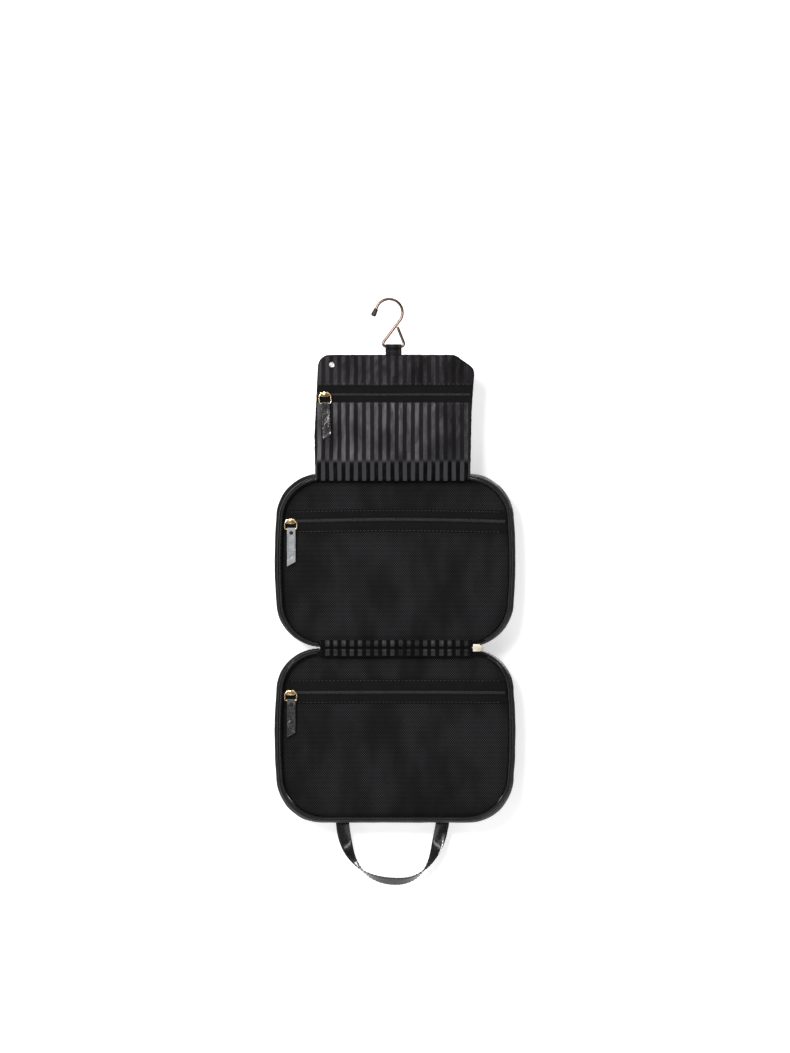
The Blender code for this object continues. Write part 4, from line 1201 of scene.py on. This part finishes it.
def build_main_zip(which, spec, rim, seed):
    """One half of the main zip, and the binding that covers the net's raw edge."""
    body = which + "_tray"
    tape_rings = [rim.ring(-1.9, 6.9), rim.ring(-1.95, 4.0), rim.ring(-1.9, 1.6), rim.ring(-2.2, 1.15),
                  rim.ring(-3.3, 1.1, 0.12, seed), rim.ring(-3.75, 1.4, 0.12, seed),
                  rim.ring(-3.6, 2.0), rim.ring(-3.2, 4.0), rim.ring(-3.0, 6.9)]
    tape = loft(which + "_main_tape", tape_rings, TAPE, close_rings=True)
    piece(tape, body, "zip_tape", which + "_zip_tape")
    chain = open_chain(rim.flat(-2.75), spec["hinge"])
    teeth = helix([(x, 0.05, z) for x, z in chain], 1.55, 0.8, 0.62, False, DEPTH, 8)
    coil = tube(which + "_main_coil", teeth, 0.36, COIL, 5)
    piece(coil, body, "zip_coil", which + "_zip_chain")
    profile = ((-4.0, 7.3), (-4.05, 4.0), (-4.0, 1.2), (-4.2, 0.72),
               (-4.55, 0.7), (-4.85, 1.1), (-4.9, 4.0), (-4.9, 7.3))
    binding = loft(which + "_binding", [rim.ring(out, y) for out, y in profile], BINDING, close_rings=True)
    piece(binding, body, "rim_binding_tape", which + "_rim_binding")


def build_front(which, spec, rim, seed, lining, lining_outline):
    """The nets, and the pocket zip across them."""
    body = which + "_tray"
    outline = rim.flat(-4.95)
    high, low = spec["tape"]
    zip_z = spec["zip"]

    def lift(x, z):
        """How far the cloth near the pocket zip bows up."""
        if abs(x) > POCKET_REACH:
            return 0.0
        near = math.exp(-(((z - zip_z) / 22.0) ** 2))
        return spec["bow"] * math.sin(math.pi * (x + POCKET_REACH) / (2 * POCKET_REACH)) * near

    def net_surface(x, z, d):
        ripple = math.sin(x * 0.22 + 1.3 * lumps(x, 0, z, 50, seed))
        wave = 0.55 * lumps(x, 0, z * 0.6, 26, seed) + 0.3 * ripple
        belly = -0.7 * math.sin(math.pi * min(max((x + 112) / 224, 0), 1))
        return (x, NET_Y + (wave + belly) * smooth(0, 10, d), z + lift(x, z))

    def tape_surface(x, z, d):
        ripple = 0.22 * lumps(x, 5, z, 9, seed) + 0.15 * math.sin(x * 0.35)
        return (x, POCKET_TAPE_Y + ripple * smooth(0, 3, d), z + lift(x, z))

    above = keep_side(outline, high - 1.4, True)
    below = keep_side(outline, low + 1.4, False)
    upper_net = panel(which + "_net_upper", above, 3.2, net_surface, NET, 0.0)
    lower_net = panel(which + "_net_lower", below, 3.2, net_surface, NET, 0.0)
    piece(upper_net, body, "black_net", which + "_mesh_top")
    piece(lower_net, body, "black_net", which + "_mesh_bottom")
    for obj, shape in ((upper_net, above), (lower_net, below), (lining, lining_outline)):
        xs, zs = [p[0] for p in shape], [p[1] for p in shape]
        (max(xs) - min(xs)) * MM
        (max(zs) - min(zs)) * MM
        abs(polygon_area(shape)) * 1e-6
    for suffix, z1, z0, node in (
        ("_pocket_tape_high", high, zip_z + 1.0, "_pocket_tape_top"),
        ("_pocket_tape_low", zip_z - 1.0, low, "_pocket_tape_bottom"),
    ):
        strip = keep_side(keep_side(outline, z1, False), z0, True)
        obj = panel(which + suffix, strip, 2.4, tape_surface, TAPE, 0.45)
        piece(obj, body, "zip_tape", which + node)
    for suffix, level in (("_tape_stitches_high", high - 1.2), ("_tape_stitches_low", low + 1.2)):
        rows = []
        for x in np.arange(-105.0, 105.5, 1.5):
            p = tape_surface(float(x), level, 5.0)
            rows.append(((p[0], p[1] - 0.25, p[2]), TO_FRONT))
        sew(body, which + suffix, rows, TAPE_THREAD, 2.4, 1.4, 0.18)
    xs = [float(x) for x in np.arange(-110.5, 110.9, 1.0)]
    path = [(x, POCKET_COIL_Y, zip_z + lift(x, zip_z)) for x in xs]
    make_coil(which + "_pocket_coil_teeth", path, 1.4, 1.15, 0.4, body, which + "_pocket_coil", 0.6)
    polish(which + "_pocket_slider", GOLD, which + "_slider", "pale_gold")
    # the upper pull takes the grey copy of the patent, a painted reflection
    build_pull_set(which + "_pocket", which, -104.4, zip_z, 3.9, (12.0, 9.4), spec["pull"], -103.8, 0.0,
                   PATENT_PAINTED_REFLECTION if which == "upper" else PATENT)


def build_tray(which):
    spec = TRAYS[which]
    rim = Rim(spec)
    seed = 2.0 if which == "upper" else 11.0
    build_gusset(which, spec, rim, seed)
    build_back(which, spec, seed)

    def lining_surface(x, z, d):
        sag = 0.5 * lumps(x, 1, z, 40, seed) + 0.35 * lumps(x, 1, z, 15, seed)
        return (x, LINING_Y + sag * smooth(0, 12, d), z)

    lining_outline = rim.flat(-2.0)
    lining = panel(which + "_lining_cloth", lining_outline, 4.5, lining_surface, LINING, 0.4)
    piece(lining, which + "_tray", "lining_fabric", which + "_lining")
    build_main_zip(which, spec, rim, seed)
    build_front(which, spec, rim, seed, lining, lining_outline)


def open_chain(outline, hinge_z):
    """A rim line without its stretch along the hinge."""
    keep = [not (abs(z - hinge_z) < 12 and -77 < x < 90) for x, z in outline]
    count = len(outline)
    start = next(i for i in range(count) if keep[i] and not keep[i - 1])
    path = [outline[(start + k) % count] for k in range(count) if keep[(start + k) % count]]
    return path


# ---------------------------------------------------------------- cloth hinges

def build_hinges():
    rows = []
    for k in range(33):
        t = k / 32
        z = HINGE_Z + 8.6 - 17.2 * t
        d = abs(z - (HINGE_Z + 1.2))
        y = -0.15 - 0.75 * math.exp(-(((d - 3.2) / 2.2) ** 2)) + 0.9 * math.exp(-((d / 0.9) ** 2))
        row = []
        for c in range(121):
            x = -75.0 + 152.0 * c / 120
            pucker = 0.22 * lumps(x, 0, z, 5.0, 6.0) + 0.14 * math.sin(x * 1.1)
            row.append((x, y + pucker * smooth(0, 0.15, min(t, 1 - t)), z + 0.3 * lumps(x, 4, 0, 9.0)))
        rows.append(row)
    strip = loft("tray_hinge_cloth", rows, SATIN_HINGE, cyclic=False)
    thicken(strip, 0.4)
    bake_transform(strip)
    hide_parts("hinge_strip_upper", "hinge_strip_lower")

    path = [(-3.1, -179.3), (-2.0, -180.1), (-0.4, -180.5), (1.6, -180.7), (3.6, -180.6), (5.4, -180.4)]
    path = resample(path, 0.45, closed=False)
    rows = []
    for y, z in path:
        row = []
        for c in range(101):
            x = -78.0 + 151.0 * c / 100
            row.append((x, y, z + 0.15 * lumps(x, y, 0, 6.0)))
        rows.append(row)
    gore = loft("flap_hinge_cloth", rows, SATIN_HINGE, cyclic=False)
    thicken(gore, 0.35)
    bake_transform(gore)


def build_main_pull():
    """The main zip's slider, and its pull: a strap round the pin that runs to the back."""
    # the main slider takes the lighter copy of the pale gold, a painted highlight
    polish("main_zip_slider", GOLD_PAINTED_HIGHLIGHT, "upper_tray", "pale_gold", 0.35)
    pin_x, pin_y = MAIN_PIN
    wrap_r, layer, half = 1.15, 0.35, 1.35
    line = [(y, layer) for y in np.linspace(30.8, 1.2, 40)]
    for a in np.linspace(0.5, 2 * math.pi - 0.5, 20):
        line.append((pin_y + wrap_r * math.cos(a), wrap_r * math.sin(a)))
    line += [(y, -layer) for y in np.linspace(1.2, 24.0, 30)]
    rows = []
    for y, s in line:
        rows.append([(pin_x + s, y, HINGE_Z + half * (c / 6 * 2 - 1)) for c in range(7)])
    pull = loft("main_patent_pull", rows, PATENT, cyclic=False)
    thicken(pull, 0.55)
    piece(pull, "main_pull", "patent_strap", "main_zip_pull")


# ---------------------------------------------------------------- the handle

def handle_path():
    left, right = HANDLE_ENDS["left"], HANDLE_ENDS["right"]
    curves = (
        ((left, -524.7), (-50.0, -560.0), (-34.0, -584.0), (2.0, -584.0)),
        ((2.0, -584.0), (30.0, -584.0), (42.0, -560.0), (right, -524.7)),
    )
    path = []
    for curve in curves:
        knots = [Vector((x, 0.0, z)) for x, z in curve]
        points = interpolate_bezier(*knots, 48)
        path += points[1:] if path else points
    return path


def handle_profile():
    """The strap's cross-section: thin at its edges, with a groove for each row of stitches."""
    front, back = [], []
    for k in range(25):
        u = -1 + 2 * k / 24
        swell = HANDLE_THICK * (1 - 0.75 * abs(u) ** 8)
        groove = 0.12 * math.exp(-(((abs(u) - 0.8) / 0.06) ** 2))
        front.append((u * HANDLE_HALF, groove - swell))
        back.append((-u * HANDLE_HALF, swell))
    return front + [(HANDLE_HALF + 0.25, 0.0)] + back + [(-HANDLE_HALF - 0.25, 0.0)]


def build_handle():
    path = handle_path()
    profile = handle_profile()
    lengths = [0.0]
    for a, b in zip(path, path[1:]):
        lengths.append(lengths[-1] + (b - a).length)
    sections = []
    seams = {"outer": [], "outer_back": [], "inner": [], "inner_back": []}
    for i, point in enumerate(path):
        along = (path[min(i + 1, len(path) - 1)] - path[max(i - 1, 0)]).normalized()
        if i in (0, len(path) - 1):
            along = Vector((0.0, 0.0, math.copysign(1.0, along.z)))
        inward = Vector((-along.z, 0.0, along.x))
        twist = math.radians(HANDLE_TWIST) * math.sin(math.pi * lengths[i] / lengths[-1]) ** 1.6
        across = inward * math.cos(twist) + DEPTH * math.sin(twist)
        through = along.cross(across).normalized()
        middle = point + DEPTH * HANDLE_Y
        ring = []
        for a, b in profile:
            ripple = 0.05 * lumps(lengths[i], a, 0, 9.0)
            ring.append(tuple(middle + across * a + through * (b + ripple)))
        sections.append(ring)
        for word, side in (("outer", -5.2), ("inner", 5.2)):
            p = middle + across * side
            for suffix, face in (("", -1), ("_back", 1)):
                spot = p + through * face * (HANDLE_THICK - 0.05)
                seams[word + suffix].append((tuple(spot), tuple(through * face)))
    obj = loft("handle_patent_strap", sections, STRAP, caps=True)
    piece(obj, "handle", "patent_strap", "handle_strap")
    for word, rows in seams.items():
        sew("handle", "handle_stitches_" + word, rows, DARK_THREAD, 2.5, 1.3, 0.2)
    for name, x in HANDLE_ENDS.items():
        build_patch(name, x)


def build_patch(name, x):
    """The stitched patch under the lower tray that holds one end of the strap."""
    bm = bmesh.new()
    bmesh.ops.create_cube(bm, size=1.0)
    for v in bm.verts:
        v.co = world(x + v.co.x * 14.0, HANDLE_Y + v.co.y * 9.0, -523.5 + v.co.z * 1.0)
    bmesh.ops.bevel(bm, geom=bm.edges[:], offset=0.4 * MM, segments=3, profile=0.6, affect="EDGES")
    bmesh.ops.subdivide_edges(bm, edges=bm.edges[:], cuts=2, use_grid_fill=True)
    mesh = bpy.data.meshes.new("handle_patch_" + name)
    bm.to_mesh(mesh)
    bm.free()
    mesh.shade_smooth()
    mesh.materials.append(STRAP)
    patch = bpy.data.objects.new("handle_patch_" + name, mesh)
    bpy.context.scene.collection.objects.link(patch)
    piece(patch, "lower_tray", "patent_strap", "handle_anchor_" + name)
    corners = [(x + a, HANDLE_Y + b) for a, b in ((-5.8, -3.4), (5.8, -3.4), (5.8, 3.4), (-5.8, 3.4))]
    rows = [((a, b, -523.97), (0, 0, -1)) for a, b in resample(corners, 1.0)]
    sew("lower_tray", "handle_patch_stitches_" + name, rows, DARK_THREAD, 1.9, 1.0, 0.14, closed=True)


# ---------------------------------------------------------------- stage, lights and camera

def plane(name, corners, mat):
    mesh = bpy.data.meshes.new(name)
    mesh.from_pydata(corners, [], [tuple(range(len(corners)))])
    obj = bpy.data.objects.new(name, mesh)
    bpy.context.scene.collection.objects.link(obj)
    mesh.materials.append(mat)
    return obj


def stage_material(name, glow, see_through_back):
    mat = bpy.data.materials.new(name)
    mat.use_nodes = True
    tree = mat.node_tree
    tree.nodes.clear()
    out = tree.nodes.new("ShaderNodeOutputMaterial")
    diffuse = tree.nodes.new("ShaderNodeBsdfDiffuse")
    diffuse.inputs["Color"].default_value = (0.86, 0.86, 0.86, 1)
    light = tree.nodes.new("ShaderNodeEmission")
    light.inputs["Color"].default_value = (1, 1, 1, 1)
    light.inputs["Strength"].default_value = glow
    both = tree.nodes.new("ShaderNodeAddShader")
    tree.links.new(diffuse.outputs[0], both.inputs[0])
    tree.links.new(light.outputs[0], both.inputs[1])
    last = both.outputs[0]
    if see_through_back:
        side = tree.nodes.new("ShaderNodeNewGeometry")
        clear = tree.nodes.new("ShaderNodeBsdfTransparent")
        mix = tree.nodes.new("ShaderNodeMixShader")
        tree.links.new(side.outputs["Backfacing"], mix.inputs[0])
        tree.links.new(last, mix.inputs[1])
        tree.links.new(clear.outputs[0], mix.inputs[2])
        last = mix.outputs[0]
    tree.links.new(last, out.inputs["Surface"])
    return mat


def build_stage():
    scene = bpy.context.scene
    wall_y = SHIFT_Y + 0.0425
    side, top = 1.2, 0.7
    # facing the camera, so its normal points to -Y
    corners = [(-side, wall_y, FLOOR_Z), (side, wall_y, FLOOR_Z), (side, wall_y, top), (-side, wall_y, top)]
    wall = plane("backdrop_wall", corners, stage_material("wall_paper", 0.52, True))
    for flag in ("visible_diffuse", "visible_glossy", "visible_transmission", "visible_shadow"):
        setattr(wall, flag, False)
    corners = [(-3, -3, FLOOR_Z), (3, -3, FLOOR_Z), (3, 3, FLOOR_Z), (-3, 3, FLOOR_Z)]
    plane("pale_floor", corners, stage_material("floor_paper", 0.1, False))
    world_data = bpy.data.worlds.new("studio")
    scene.world = world_data
    world_data.use_nodes = True
    tree = world_data.node_tree
    back = tree.nodes["Background"]
    back.inputs["Color"].default_value = (1, 1, 1, 1)
    path = tree.nodes.new("ShaderNodeLightPath")
    strength = tree.nodes.new("ShaderNodeMapRange")
    strength.inputs["To Min"].default_value = 0.1
    strength.inputs["To Max"].default_value = 0.95
    tree.links.new(path.outputs["Is Camera Ray"], strength.inputs["Value"])
    tree.links.new(strength.outputs[0], back.inputs["Strength"])

    for name, at, size, power in (
        ("key_softbox", (-0.72, -1.75, 0.45), (0.7, 0.7), 40),
        ("left_strip", (-1.5, -0.9, -0.25), (0.3, 1.3), 5),
        ("right_strip", (1.5, -0.8, -0.35), (0.25, 1.3), 3.5),
        ("top_fill", (0.2, -0.6, 1.4), (1.0, 0.6), 8),
        ("back_fill", (0.5, 1.8, 0.6), (1.4, 1.4), 22),
    ):
        light = bpy.data.lights.new(name, "AREA")
        light.shape = "RECTANGLE"
        light.size, light.size_y = size
        light.energy = power
        obj = bpy.data.objects.new(name, light)
        scene.collection.objects.link(obj)
        obj.location = at
        obj.rotation_euler = (Vector((0.0, 0.0, -0.28)) - Vector(at)).to_track_quat("-Z", "Y").to_euler()

    camera = bpy.data.cameras.new("camera")
    obj = bpy.data.objects.new("camera", camera)
    scene.collection.objects.link(obj)
    distance, frame_height = 3.0, 1.053
    camera.sensor_fit = "VERTICAL"
    camera.sensor_height = camera.sensor_width = 36.0
    camera.lens = 36.0 * distance / frame_height
    obj.location = (SHIFT_X, SHIFT_Y - distance, -0.2255)
    obj.rotation_euler = (math.radians(90), 0, 0)
    camera.clip_end = 20
    camera.dof.use_dof = False
    scene.camera = obj
    scene.view_settings.view_transform = "Standard"
    scene.view_settings.look = "None"


build_hook()
build_tab()
build_flap()
polish("flap_zip_slider", GOLD, "flap_slider", "pale_gold")
build_pull_set("flap_zip", "flap", -70.0, FLAP_ZIP, -3.9, (11.8, 10.8), 34.0, -70.0, -3.0, PATENT)
build_tray("upper")
build_tray("lower")
build_hinges()
build_main_pull()
build_handle()
build_stage()

bpy.context.view_layer.update()
